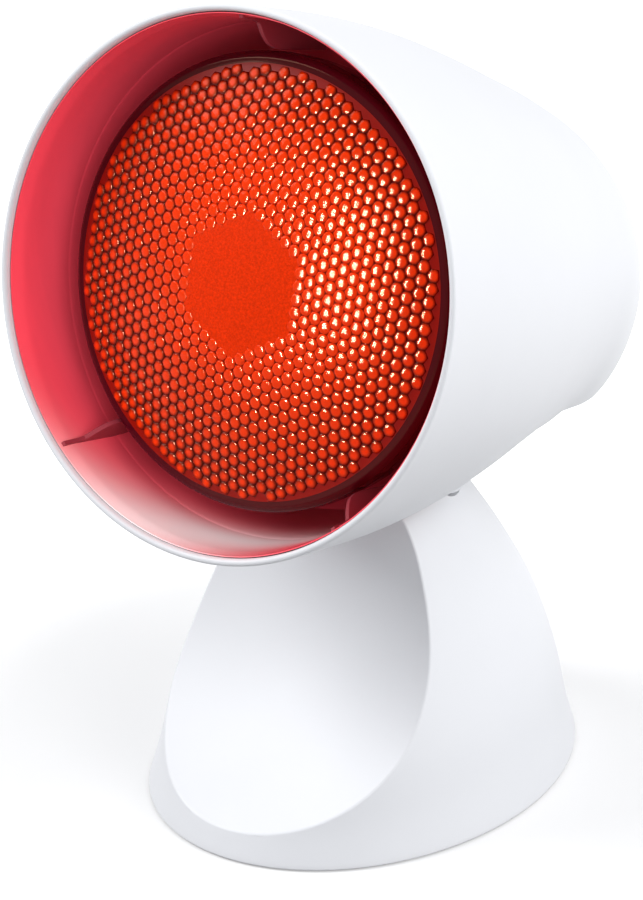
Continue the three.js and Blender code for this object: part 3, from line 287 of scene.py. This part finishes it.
# Base plate, feet, screws and ballast: a flat grey-white plate is screwed into the stand from below, with
# black rubber feet in its sockets. A cast iron block on two pegs keeps the lamp from tipping over.
base_grey = finish_of("base plastic", (0.62, 0.63, 0.65), 0.55, grain=0.12, grain_scale=1400)
foot_rubber = finish_of("foot rubber", (0.02, 0.02, 0.022), 0.8, grain=0.25, grain_scale=1100, drift=0.15)
zinc = finish_of("zinc plate", (0.55, 0.57, 0.6), 0.32, metal=1.0, grain=0.05, grain_scale=2000, drift=0.08)
cast_iron = finish_of("cast iron", (0.09, 0.09, 0.095), 0.6, metal=0.8, grain=0.6, grain_scale=500, drift=0.2)


def dress(material, *names):
    """Gives CAD nodes their finish."""
    for name in names:
        node = frame["nodes"][name]
        for held in node.material_slots:
            held.material = material


dress(base_grey, "base_plate")
dress(foot_rubber, "foot_front_left", "foot_front_right", "foot_rear_left", "foot_rear_right")
dress(zinc, "base_screw_front_left", "base_screw_front_right", "base_screw_rear_left", "base_screw_rear_right")
dress(cast_iron, "ballast_weight")

# Rocker switch: a bezel and box in light grey plastic, pressed into the back of the stand, with two
# nickelled terminal blades inside. The rocker has a hollowed face, and turns on a line inside the box.
switch_grey = finish_of("switch plastic", (0.5, 0.51, 0.53), 0.3, grain=0.05, grain_scale=1600)
blade_brass = finish_of("nickelled brass", (0.66, 0.56, 0.36), 0.28, metal=1.0, drift=0.08)
bezel = box(-7.5, 7.5, 0.3, 1.9, -10.5, 10.5)
upright = [e for e in bezel.edges if abs(e.verts[0].co.y - e.verts[1].co.y) > 1]
bmesh.ops.bevel(bezel, geom=upright, offset=1.6, offset_type="OFFSET", segments=6, profile=0.5, affect="EDGES",
                clamp_overlap=True, material=-1)
bezel = combined(bezel, box(-6.4, 6.4, -15, 1.6, -9.2, 9.2), "UNION")
bezel = combined(bezel, box(-5, 5, -11.8, 6, -8.2, 8.2), "DIFFERENCE")
bezel = softened(bezel, 0.35, 3, lambda e: all(v.co.y > 1.5 for v in e.verts), 45)
piece("switch_frame", bezel, stand_place @ switch_place, [switch_grey], "stand",
      ["switch_body"])
dress(blade_brass, "switch_blade_lower", "switch_blade_upper")


def pulled(outline, along):
    """A flat outline pulled out straight into a solid."""
    shape = bmesh.new()
    flat = shape.faces.new([shape.verts.new(spot) for spot in outline])
    grown = bmesh.ops.extrude_face_region(shape, geom=[flat])["geom"]
    bmesh.ops.translate(shape, vec=along, verts=[v for v in grown if isinstance(v, bmesh.types.BMVert)])
    bmesh.ops.recalc_face_normals(shape, faces=shape.faces)
    return shape


rocker_rise, rocker_reach, rocker_shoulder, rocker_half = 7.5, 7.4, 4.5, 4.6
side = [(0, rocker_rise - 1.9), (-2.4, rocker_rise - 1.66), (-4.8, rocker_rise - 0.9), (-6.88, rocker_rise),
        (-rocker_reach, rocker_shoulder)]
side += [(-rocker_reach * math.cos(math.radians(a)), -rocker_reach * math.sin(math.radians(a)))
         for a in range(0, 181, 15)]
side += [(rocker_reach, rocker_shoulder), (6.88, rocker_rise), (4.8, rocker_rise - 0.9),
         (2.4, rocker_rise - 1.66)]
rocker = pulled([(-rocker_half, y, z) for z, y in side], (2 * rocker_half, 0, 0))
rocker = softened(rocker, 0.35, 3, lambda e: all(v.co.y > 4 for v in e.verts), 30)
rocker_depth, rocker_off = -4, math.radians(-6)
rocker_place = Matrix.Translation((0, rocker_depth, 0)) @ Matrix.Rotation(rocker_off, 4, "X")
piece("rocker", rocker, stand_place @ switch_place @ rocker_place, [switch_grey], "rocker",
      ["switch_rocker"])

# Cord gland: a bush moulded in dark rubber, with a bore right through it. It is pushed in from outside, until
# its round flange sits in a pocket low in the back of the stand.
gland_rubber = finish_of("gland rubber", (0.03, 0.03, 0.034), 0.7, grain=0.2, grain_scale=1200, drift=0.12)
bush = spun([(3.6, -11), (4.6, -11), (5.4, -6), (5.4, 0.3), (6.9, 0.3), (7.2, 0.6), (7.15, 1.3), (6.8, 1.9),
             (6.2, 2.1), (4.6, 2.1), (4.1, 1.9), (3.6, 1.4)], 64, "Y", closed=True)
piece("gland", bush, stand_place @ Matrix.Translation((0, gland_seat, gland_height)), [gland_rubber], "stand",
      ["cord_gland"], 40)

# Hinge and frame: a sheet steel frame, lacquered white, hangs on a bolt through the neck's barrel, between
# plastic washers. A click wheel on the bolt runs over a leaf spring in the neck.
washer_grey = finish_of("washer plastic", (0.035, 0.036, 0.04), 0.5, grain=0.1, drift=0.1)
wheel_plastic = finish_of("wheel plastic", (0.62, 0.58, 0.5), 0.45, grain=0.08)
sheet_zinc = finish_of("zinc sheet", (0.56, 0.58, 0.6), 0.36, metal=1.0, grain=0.06, grain_scale=1500,
                       drift=0.1, stretch=(1, 0.15, 1))
sheet_white = finish_of("lacquered sheet", (0.74, 0.75, 0.78), 0.35, grain=0.1, grain_scale=700, drift=0.02)
dress(sheet_zinc, "click_spring")
dress(sheet_white, "head_frame")
dress(zinc, "pivot_bolt", "pivot_nut", "frame_screw_left", "frame_screw_right", "holder_screw_left",
      "holder_screw_right")
dress(washer_grey, "hinge_washer_left", "hinge_washer_right")
dress(wheel_plastic, "click_wheel")

# Hood: a deep bell in the same white plastic, moulded in one piece. It is round at its rolled lip, drops a
# little at the rear, is cut flat below the rear and has a round-cornered slot for the stand's neck.
hood_length, lip_radius, hood_wall = 185, 72.4, 1.9

# It is drawn in millimetres from the middle of its lip, with its depth along Y, and leans back on the hinge.
lean_back, lip_ahead, lip_above = math.radians(13), -88.8, 48.2
head_place = (Matrix.Translation(hinge_pin) @ Matrix.Rotation(-lean_back, 4, "X") @ Matrix.Scale(0.001, 4)
              @ Matrix.Translation((0, lip_ahead, lip_above)))

# Each row gives a depth as a share of the hood's length, and the radius there as a share of the lip's.
hood_rows = [(0, 1), (0.08, 0.991), (0.17, 0.977), (0.28, 0.941), (0.4, 0.879), (0.52, 0.804), (0.64, 0.729),
             (0.72, 0.682), (0.8, 0.602), (0.87, 0.487), (0.94, 0.338), (1, 0)]
hood_squares = [(along, share * share) for along, share in hood_rows]


def hood_radius(depth):
    square = eased(hood_squares, 1, min(max(depth / hood_length, 0), 1))
    return lip_radius * math.sqrt(max(square, 0))


def hood_profile(inset, front):
    """The bell's outline from a depth to the tip of its rear, set in by the inset square to the surface."""
    rows = []
    rings, closer_at_rear, near = 96, 1.8, 0.2
    for i in range(rings):
        depth = front + (hood_length - front) * (1 - (1 - i / rings) ** closer_at_rear)
        rise = hood_radius(depth + near) - hood_radius(depth - near)
        run = min(depth + near, hood_length) - max(depth - near, 0)
        length = math.hypot(rise, run)
        radius = hood_radius(depth) - inset * run / length
        if radius > inset + 0.5:
            rows.append((radius, depth + inset * rise / length))
    return rows + [(0, hood_length - inset)]


def drawn_down(shape):
    """Drops the rear of the bell a little and draws its lower part further back."""
    rear_drop, rear_draw, full_draw_below = 7.4, 9, 34.5
    for v in shape.verts:
        drop = min(max((v.co.y / hood_length - 0.58) / 0.42, 0), 1)
        tail = min(max((v.co.y / hood_length - 0.6) / 0.3, 0), 1)
        v.co.z -= rear_drop * drop * drop * (3 - 2 * drop)
        low = min(max(-v.co.z / full_draw_below, 0), 1)
        v.co.y += rear_draw * tail * tail * (3 - 2 * tail) * low ** 3
    return shape


half_lip = hood_wall / 2
lip_turns = [math.pi * i / 12 for i in range(1, 12)]
lip = [(lip_radius - half_lip - half_lip * math.cos(t), half_lip - half_lip * math.sin(t)) for t in lip_turns]
bell = drawn_down(spun(hood_profile(hood_wall, half_lip)[::-1] + lip + hood_profile(0, half_lip), 224, "Y"))
slot_half, slot_front, slot_rear, slot_top, slot_corner = 34, 56, 133, -30.4, 10
undercut_front, undercut_top, past_hood = 119, -34.4, 80
slot = box(-slot_half, slot_half, slot_front, slot_rear, -past_hood, slot_top)
corners = [e for e in slot.edges if abs(e.verts[0].co.z - e.verts[1].co.z) > 1]
bmesh.ops.bevel(slot, geom=corners, offset=slot_corner, offset_type="OFFSET", segments=14, profile=0.5,
                affect="EDGES", clamp_overlap=True, material=-1)
bell = combined(bell, slot, "DIFFERENCE")
undercut = box(-past_hood, past_hood, undercut_front, hood_length + 5, -past_hood, undercut_top)
bell = combined(bell, undercut, "DIFFERENCE")
bell = softened(bell, 0.35, 3, lambda e: all(v.co.y > 50 and v.co.z < -20 for v in e.verts), 40)

# Two bosses stand on the inside of the rear wall, drilled for the screws that hold the frame.
boss_radius, boss_front, boss_z, boss_hole, boss_hole_end = 3.8, 156.3, -22, 1.8, 164.3
for boss_x in (-16, 16):
    within = drawn_down(spun(hood_profile(1, 1) + [(0, 1)], 96, "Y", closed=True))
    boss = combined(bar("y", boss_radius, boss_front, hood_length, boss_x, boss_z, 40), within, "INTERSECT")
    boss = combined(boss, bar("y", boss_hole, 150, boss_hole_end, boss_x, boss_z, 24), "DIFFERENCE")
    bell = combined(bell, boss, "UNION")
bmesh.ops.remove_doubles(bell, verts=bell.verts, dist=0.01)
piece("hood_moulding", bell, head_place, [white_plastic], "head", ["hood_shell"], 40)

# Vent cover: a flat plate with slots, moulded in the plastic of the base. It closes the cut below the hood's
# rear, set back a little in the opening, and lets the warm air through.
dress(base_grey, "vent_cover")

# Liner: a thin spun aluminium ring inside the mouth, lacquered red. A faint crease runs round it, and
# three ribs stand on it that rise to the bulb's edge and keep it central. Behind, it closes in on the glass.
red_lacquer = finish_of("red lacquer", (0.84, 0.06, 0.095), 0.4, metal=0.2, coat=0.4, drift=0.05, uneven=0.05,
                        stretch=(1, 5, 1), coat_rough=0.3)
nodes, links = red_lacquer.node_tree.nodes, red_lacquer.node_tree.links
# Painted light: an attribute of the liner turns its colour pale pink low in the mouth near the rim.
painted_light_reader = nodes.new("ShaderNodeAttribute")
painted_light_reader.attribute_name = "painted light patch"
painted_light_mix = nodes.new("ShaderNodeMix")
painted_light_mix.data_type = "RGBA"
painted_light_mix.inputs["B"].default_value = (0.95, 0.76, 0.76, 1)
shader = nodes["Principled BSDF"]
links.new(painted_light_reader.outputs["Fac"], painted_light_mix.inputs["Factor"])
links.new(shader.inputs["Base Color"].links[0].from_socket, painted_light_mix.inputs["A"])
links.new(painted_light_mix.outputs["Result"], shader.inputs["Base Color"])
liner_front, crease_depth, rib_end = 1.7, 24, 42

# Each row gives a depth as a share of the glass's length, and the radius there as a share of its widest.
bulb_radius, glass_front, glass_length = 60.5, 23, 93
bulb_rows = [(0, 1), (0.08, 0.985), (0.22, 0.93), (0.38, 0.81), (0.54, 0.64), (0.68, 0.47), (0.8, 0.335),
             (0.9, 0.27), (1, 0.2413)]


def liner_radius(depth):
    fall = 2.6 * max(depth - crease_depth, 0) / 24
    step = 0.1 * min(max((depth - crease_depth) / 0.8, 0), 1)
    return hood_radius(depth) - 2.2 - step - fall


def liner_wall(depth):
    """The sheet is thinned towards its front edge."""
    return 0.8 * min(0.3 + (depth - liner_front) / 6, 1)


def glass_radius(depth):
    return bulb_radius * eased(bulb_rows, 1, (depth - glass_front) / glass_length)


ring_depths = [liner_front + 22.3 * i / 24 for i in range(25)]
ring_depths += [24.2, 24.4, 24.6] + [24.8 + 23.2 * i / 20 for i in range(21)]
closing_depths = [56 + 42 * i / 20 for i in range(21)]
glass_gap = 2.4
ring_side = [(liner_radius(d), d) for d in ring_depths]
ring_side += [(glass_radius(d) + glass_gap, d) for d in closing_depths]
ring = spun(ring_side + [(r - liner_wall(d), d) for r, d in reversed(ring_side)], 200, "Y", closed=True)
rib_side = [(2.6, liner_radius(2.6) - 0.4), (3, liner_radius(3) - 1.2), (8.5, liner_radius(8.5) - 1.6),
            (10.5, liner_radius(10.5) - 2.1), (12.2, 65.3), (13.6, 63.8), (15.4, 62.3), (18, 61.3), (22, 60.9),
            (41, 60.9), (rib_end, liner_radius(rib_end) - 0.4), (24.3, liner_radius(24.3) - 0.4),
            (crease_depth, liner_radius(crease_depth) - 0.4), (13, liner_radius(13) - 0.4)]
rib_half = 0.6
for rib_turn in (95, 230, 310):
    rib = pulled([(radius, depth, -rib_half) for depth, radius in rib_side], (0, 0, 2 * rib_half))
    round_mouth = Matrix.Rotation(-math.radians(rib_turn), 3, "Y")
    bmesh.ops.rotate(rib, cent=(0, 0, 0), matrix=round_mouth, verts=rib.verts)
    ring = combined(ring, rib, "UNION")

# Painted light: a pale patch is painted low in the mouth near the rim, where light falls. The ribs are painted
# darker, as shade.
painted_light_layer = ring.verts.layers.float.new("painted light patch")
for v in ring.verts:
    low_side = max(math.cos(math.atan2(v.co.x, -v.co.z) + math.radians(18 - 1.3 * v.co.y)), 0)
    near_rim = min(max(1 - (v.co.y - 16) / 22, 0), 1)
    v[painted_light_layer] = low_side ** 11 * near_rim * near_rim * (3 - 2 * near_rim)
# Painted shade: the ribs take a darker red that stands in for the shade on their sides.
rib_painted_shade = finish_of("rib painted shade", (0.2, 0.02, 0.03), 0.5, drift=0.1, gloss_level=0.2)
least_proud = 0.12
for f in ring.faces:
    middle = f.calc_center_median()
    proud = liner_radius(middle.y) - liner_wall(middle.y) - math.hypot(middle.x, middle.z)
    f.material_index = 1 if proud > least_proud and middle.y < rib_end + 0.5 else 0
piece("liner", ring, head_place, [red_lacquer, rib_painted_shade], "head", ["hood_liner"], 35)

# Lens of the bulb: pressed red glass, domed, with a plain edge, a six-sided stippled middle and rows of small
# flat-topped beads all over the rest. The dark glass between the beads is painted shade.
orange_glass = finish_of("orange glass", (0.97, 0.042, 0.001), 0.09, drift=0.04, uneven=0.02, gloss_level=0.14)
pad_glass = finish_of("middle glass", (0.87, 0.034, 0.001), 0.4, grain=0.6, grain_scale=2200, drift=0.16,
                      gloss_level=0.1, drift_scale=1500)
# Painted shade: the dark red of the glass seen between the beads.
groove_painted_shade = finish_of("groove painted shade", (0.3, 0.006, 0.001), 0.3, drift=0.1, gloss_level=0.1)
band_glass = finish_of("edge glass", (0.5, 0.009, 0.006), 0.08, drift=0.05, gloss_level=0.2)
maroon_glass = finish_of("maroon glass", (0.07, 0.002, 0.008), 0.12, drift=0.1, gloss_level=0.14)
for glass in (orange_glass, pad_glass, band_glass, maroon_glass):
    glass.node_tree.nodes["Principled BSDF"].inputs["Specular Tint"].default_value = (1, 0.48, 0.28, 1)

# Painted shade: the orange of a bead darkens to its corners, and more so the further it lies from a spot off the
# lens's middle.
nodes, links = orange_glass.node_tree.nodes, orange_glass.node_tree.links
kept = nodes.new("ShaderNodeAttribute")
kept.attribute_name = "from edge"
apart = nodes.new("ShaderNodeSeparateColor")
links.new(kept.outputs["Color"], apart.inputs["Color"])
reach_in = nodes.new("ShaderNodeMapRange")
reach_in.inputs["From Max"].default_value = 0.55
reach_in.inputs["To Min"].default_value = 0.85
reach_in.inputs["To Max"].default_value = 0.2
links.new(apart.outputs["Green"], reach_in.inputs["Value"])
lit = nodes.new("ShaderNodeMapRange")
lit.interpolation_type = "SMOOTHSTEP"
links.new(apart.outputs["Red"], lit.inputs["Value"])
links.new(reach_in.outputs["Result"], lit.inputs["From Max"])
deep = nodes.new("ShaderNodeMix")
deep.data_type = "RGBA"
deep.inputs["A"].default_value = (0.06, 0.0015, 0.001, 1)
links.new(lit.outputs["Result"], deep.inputs["Factor"])
shader = nodes["Principled BSDF"]
links.new(shader.inputs["Base Color"].links[0].from_socket, deep.inputs["B"])
links.new(deep.outputs["Result"], shader.inputs["Base Color"])

dome_radius, dome_edge, dome_rise, edge_round, lens_rear = 57.4, 17.2, 7, 2.4, 22.7
field_edge = 57.1


def crown(radius):
    """The depth of the domed front, at a distance from its middle."""
    return dome_edge - dome_rise * (1 - (radius / dome_radius) ** 2)


disc = [(dome_radius * i / 48, crown(dome_radius * i / 48)) for i in range(49)]
edge_turns = [math.radians(a) for a in range(9, 91, 9)]
edge = [(bulb_radius - edge_round + edge_round * math.sin(t), dome_edge + edge_round * (1 - math.cos(t)))
        for t in edge_turns]
back = [(bulb_radius, lens_rear), (55.7, lens_rear)]
back += [(54.4 * i / 12, crown(dome_radius * i / 12) + 3) for i in range(12, -1, -1)]
lens = spun(disc + edge + back, 192, "Y")
for f in lens.faces:
    middle = f.calc_center_median()
    radius = math.hypot(middle.x, middle.z)
    under_beads = radius < field_edge - 0.2 and middle.y < dome_edge + 0.4
    f.material_index = 0 if under_beads else 1 if radius < dome_radius + 0.2 else 2
piece("lens_glass", lens, head_place, [groove_painted_shade, band_glass, maroon_glass], "head",
      ["bulb_lens"], 40)

pad_radius = 19.9
pad_rows = [(pad_radius * i / 14, crown(pad_radius * i / 14) - 0.22) for i in range(15)]
pad_rear = 12
middle_pad = spun(pad_rows + [(pad_radius, pad_rear), (0, pad_rear)], 96, "Y")
for i in range(6):
    side_turn = math.radians(60 * i)
    outward = Vector((math.cos(side_turn), 0, math.sin(side_turn)))
    whole = middle_pad.verts[:] + middle_pad.edges[:] + middle_pad.faces[:]
    cut = bmesh.ops.bisect_plane(middle_pad, geom=whole, dist=0.0001, plane_no=outward, clear_outer=True,
                                 plane_co=outward * pad_radius * math.sqrt(0.75))["geom_cut"]
    bmesh.ops.contextual_create(middle_pad, geom=[e for e in cut if isinstance(e, bmesh.types.BMEdge)])
bmesh.ops.recalc_face_normals(middle_pad, faces=middle_pad.faces)
piece("lens_middle", middle_pad, head_place, [pad_glass], "head", (), 40)

# One bead is made, round on top and six-sided at its foot, and set out in rows that touch. Each of its points
# keeps how far it lies from the bead's corners and from a spot 9 mm to the side of and 5 mm above the middle of
# the
# lens: the glass is painted darker, as shade, towards the corners and further from that spot.
bead_pitch = 3.47
bead_side, bead_corner = bead_pitch / 2, bead_pitch / math.sqrt(3)
bead = spun([(0, -0.44), (0.42, -0.43), (0.76, -0.38), (0.9, -0.27), (1, 0.03)], 12, "Y")
for v in bead.verts:
    out = math.hypot(v.co.x, v.co.z)
    turn = math.degrees(math.atan2(v.co.z, v.co.x)) % 60
    foot = bead_side / math.cos(math.radians(turn - 30))
    reach = bead_side + (foot - bead_side) * out ** 3
    v.co.x, v.co.z = v.co.x * reach, v.co.z * reach
bead_mesh = bpy.data.meshes.new("bead")
bead.to_mesh(bead_mesh)
bead.free()
beads = bmesh.new()
from_edge = beads.verts.layers.float_color.new("from edge")
rows_each_way, first_ring = 18, 6
# The painted shade on the beads is least around this spot, where the strip's glints fall.
least_shade_x, least_shade_z = 9, 5
for i in range(-rows_each_way, rows_each_way + 1):
    for j in range(-rows_each_way, rows_each_way + 1):
        x, z = bead_pitch * math.sqrt(0.75) * i, bead_pitch * (j + i / 2)
        rank = max(abs(i), abs(j), abs(i + j))
        radius = math.hypot(x, z)
        if rank < first_ring or radius > field_edge - bead_side * 0.4:
            continue
        beads.from_mesh(bead_mesh)
        beads.verts.ensure_lookup_table()
        new = beads.verts[-len(bead_mesh.vertices):]
        slope_x, slope_z = (2 * dome_rise * k / dome_radius ** 2 for k in (x, z))
        lie = Vector((0, -1, 0)).rotation_difference(Vector((slope_x, -1, slope_z)))
        for v in new:
            within = 1 - math.hypot(v.co.x, v.co.z) / bead_corner
            v[from_edge] = (within, 1 - math.hypot(x - least_shade_x, z - least_shade_z) / field_edge, 0, 1)
        spot = Matrix.Translation((x, crown(radius), z)) @ lie.to_matrix().to_4x4()
        bmesh.ops.transform(beads, matrix=spot, verts=new)
bpy.data.meshes.remove(bead_mesh)
for v in beads.verts:
    past = math.hypot(v.co.x, v.co.z) / field_edge
    if past > 1:
        v.co.x, v.co.z = v.co.x / past, v.co.z / past
bmesh.ops.remove_doubles(beads, verts=beads.verts, dist=0.12)
bmesh.ops.dissolve_degenerate(beads, edges=beads.edges, dist=0.01)
piece("lens_beads", beads, head_place, [orange_glass], "head", (), 60)

# Bulb behind the lens: the blown glass body in the same red, dark where it is seen edge on, with the stem,
# the lead wires and the filament sealed in it, and the screw cap with its insulator and contact.
glass_wall, glass_rear = 2.2, glass_front + glass_length
outer = [(glass_radius(d), d) for d in [glass_front + glass_length * i / 40 for i in range(41)]]
inner = [(r - glass_wall, d) for r, d in outer if d < 113.5]
inner.append((inner[-1][0], 113.8))
glass = spun([(0, 113.8)] + inner[::-1] + outer + [(0, glass_rear)], 128, "Y")
piece("bulb_glass", glass, head_place, [maroon_glass], "head", ["bulb_reflector"], 40)
clear_glass = finish_of("clear glass", (0.8, 0.84, 0.85), 0.08, coat=0.6)
wire = finish_of("drawn wire", (0.45, 0.45, 0.47), 0.35, metal=1.0, drift=0.1)
black_glass = finish_of("black glass", (0.02, 0.018, 0.018), 0.15, coat=0.5)
ceramic = finish_of("ceramic", (0.74, 0.71, 0.65), 0.3, coat=0.4, grain=0.1, grain_scale=700)
dress(clear_glass, "bulb_stem")
dress(wire, "filament", "filament_lead_left", "filament_lead_right")
dress(blade_brass, "bulb_cap", "bulb_contact", "holder_sleeve", "holder_tongue")
dress(black_glass, "bulb_insulator")

# Lamp holder: a glazed ceramic cup, held by two screws to the frame behind the bulb. The bulb's cap screws
# into the thin nickelled sleeve inside it.
dress(ceramic, "holder_body")

# Floor: a flat floor that keeps the lamp's shadow. It is pale where it is seen, and greyer for the light that
# it throws back on the lamp. Where it is seen it also glows, more so further out, so that it ends in the plain
# white that the world beyond it is seen as.
floor_shape = bmesh.new()
floor_half = 6
bmesh.ops.create_grid(floor_shape, x_segments=1, y_segments=1, size=floor_half)
floor_mesh = bpy.data.meshes.new("floor")
floor_shape.to_mesh(floor_mesh)
floor_shape.free()
floor = bpy.data.objects.new("floor", floor_mesh)
bpy.context.scene.collection.objects.link(floor)
floor_white = bpy.data.materials.new("floor white")
floor_white.use_nodes = True
floor_shader = floor_white.node_tree.nodes["Principled BSDF"]
floor_shader.inputs["Roughness"].default_value = 0.9
floor_shader.inputs["Specular IOR Level"].default_value = 0.1
floor_shader.inputs["Emission Color"].default_value = (1, 1, 1, 1)


def when_seen(tree, strength):
    """The strength for rays from the camera, from a reflection or through glass, and else nothing. It is a
    plain number or a socket."""
    light_path = tree.nodes.new("ShaderNodeLightPath")
    either, any_of, share = (tree.nodes.new("ShaderNodeMath") for _ in range(3))
    either.operation = any_of.operation = "MAXIMUM"
    share.operation = "MULTIPLY"
    if isinstance(strength, bpy.types.NodeSocket):
        tree.links.new(strength, share.inputs[1])
    else:
        share.inputs[1].default_value = strength
    tree.links.new(light_path.outputs["Is Camera Ray"], either.inputs[0])
    tree.links.new(light_path.outputs["Is Glossy Ray"], either.inputs[1])
    tree.links.new(either.outputs["Value"], any_of.inputs[0])
    tree.links.new(light_path.outputs["Is Transmission Ray"], any_of.inputs[1])
    tree.links.new(any_of.outputs["Value"], share.inputs[0])
    return share.outputs["Value"]


nodes, links = floor_white.node_tree.nodes, floor_white.node_tree.links
shade = nodes.new("ShaderNodeMix")
shade.data_type = "RGBA"
thrown_back, looked_at = 0.3, 0.65
shade.inputs["A"].default_value = (thrown_back, thrown_back, thrown_back, 1)
shade.inputs["B"].default_value = (looked_at, looked_at, looked_at, 1)
links.new(when_seen(floor_white.node_tree, 1), shade.inputs["Factor"])
links.new(shade.outputs["Result"], floor_shader.inputs["Base Color"])
spot = nodes.new("ShaderNodeTexCoord")
away = nodes.new("ShaderNodeVectorMath")
away.operation = "LENGTH"
links.new(spot.outputs["Object"], away.inputs[0])
lift = nodes.new("ShaderNodeMapRange")
lift.interpolation_type = "SMOOTHSTEP"
lift.inputs["From Min"].default_value = 0.11
lift.inputs["From Max"].default_value = 0.23
lift.inputs["To Min"].default_value = 0.32
lift.inputs["To Max"].default_value = 1
links.new(away.outputs["Value"], lift.inputs["Value"])
links.new(when_seen(floor_white.node_tree, lift.outputs["Result"]), floor_shader.inputs["Emission Strength"])
floor_mesh.materials.append(floor_white)

world = bpy.data.worlds.new("studio")
bpy.context.scene.world = world
world.use_nodes = True
nodes, links = world.node_tree.nodes, world.node_tree.links
room = nodes["Background"]
room.inputs["Color"].default_value = (0.91, 0.93, 1, 1)
room.inputs["Strength"].default_value = 0.38
seen = nodes.new("ShaderNodeBackground")
seen.inputs["Color"].default_value = (1, 1, 1, 1)
seen.inputs["Strength"].default_value = 1
pick = nodes.new("ShaderNodeMixShader")
links.new(when_seen(world.node_tree, 1), pick.inputs["Fac"])
links.new(room.outputs["Background"], pick.inputs[1])
links.new(seen.outputs["Background"], pick.inputs[2])
links.new(pick.outputs["Shader"], nodes["World Output"].inputs["Surface"])

# Lamps: soft boxes on the left, on the right and high at the rear. Two more reach one piece alone: a fill
# beside the camera lights the liner deep in the mouth, and a tall strip low on the left glints in the beads.
aim = Vector((0, -0.02, 0.12))


def soft_box(name, azimuth, elevation, distance, width, height, power):
    a, e = math.radians(azimuth), math.radians(elevation)
    away = Vector((math.sin(a) * math.cos(e), -math.cos(a) * math.cos(e), math.sin(e)))
    lamp = bpy.data.lights.new(name, "AREA")
    lamp.shape, lamp.size, lamp.size_y, lamp.energy = "RECTANGLE", width, height, power
    holder = bpy.data.objects.new(name, lamp)
    holder.location = aim + away * distance
    holder.rotation_mode = "QUATERNION"
    holder.rotation_quaternion = (-away).to_track_quat("-Z", "Y")
    bpy.context.scene.collection.objects.link(holder)
    return holder


def reach_only(lamp, name):
    lit_piece = bpy.data.collections.new(name + " only")
    lit_piece.objects.link(bpy.data.objects[name])
    lamp.light_linking.receiver_collection = lit_piece


soft_box("left", -54, 34, 1.6, 0.9, 0.9, 19.5)
soft_box("right", 88, 30, 1.6, 1.8, 1.4, 21.5)
soft_box("rear", 150, 55, 1.6, 0.9, 0.9, 6)
reach_only(soft_box("mouth fill", 36, 20, 1.6, 1.5, 1.6, 26), "liner")
glint = soft_box("bead strip", -17, 10, 1.5, 0.3, 0.55, 110)
glint.visible_diffuse = False
reach_only(glint, "lens_beads")

# Camera: to the right of the lamp and above it, where the photo was taken from, with a long lens. Its length is
# given in the picture's own pixels.
yaw, pitch, roll = (math.radians(a) for a in (-35.46, -23.48, 0.87))
ahead = Vector((math.sin(yaw) * math.cos(pitch), math.cos(yaw) * math.cos(pitch), math.sin(pitch)))
across = ahead.cross(Vector((0, 0, 1))).normalized()
above = across.cross(ahead)
right = across * math.cos(roll) + above * math.sin(roll)
top = above * math.cos(roll) - across * math.sin(roll)
lens_data = bpy.data.cameras.new("camera")
sensor, picture_height, lens_pixels = 36, 900, 3113.4
lens_data.sensor_width, lens_data.lens = sensor, lens_pixels / picture_height * sensor
lens_data.clip_start, lens_data.clip_end = 0.05, 20
camera = bpy.data.objects.new("camera", lens_data)
bpy.context.scene.collection.objects.link(camera)
camera_from_footprint = Vector((0.4576, -0.6683, 0.4486))
facing = Matrix((right, top, -ahead)).transposed().to_4x4()
camera.matrix_world = Matrix.Translation(footprint + camera_from_footprint) @ facing
bpy.context.scene.camera = camera
bpy.context.scene.view_settings.view_transform = "Standard"
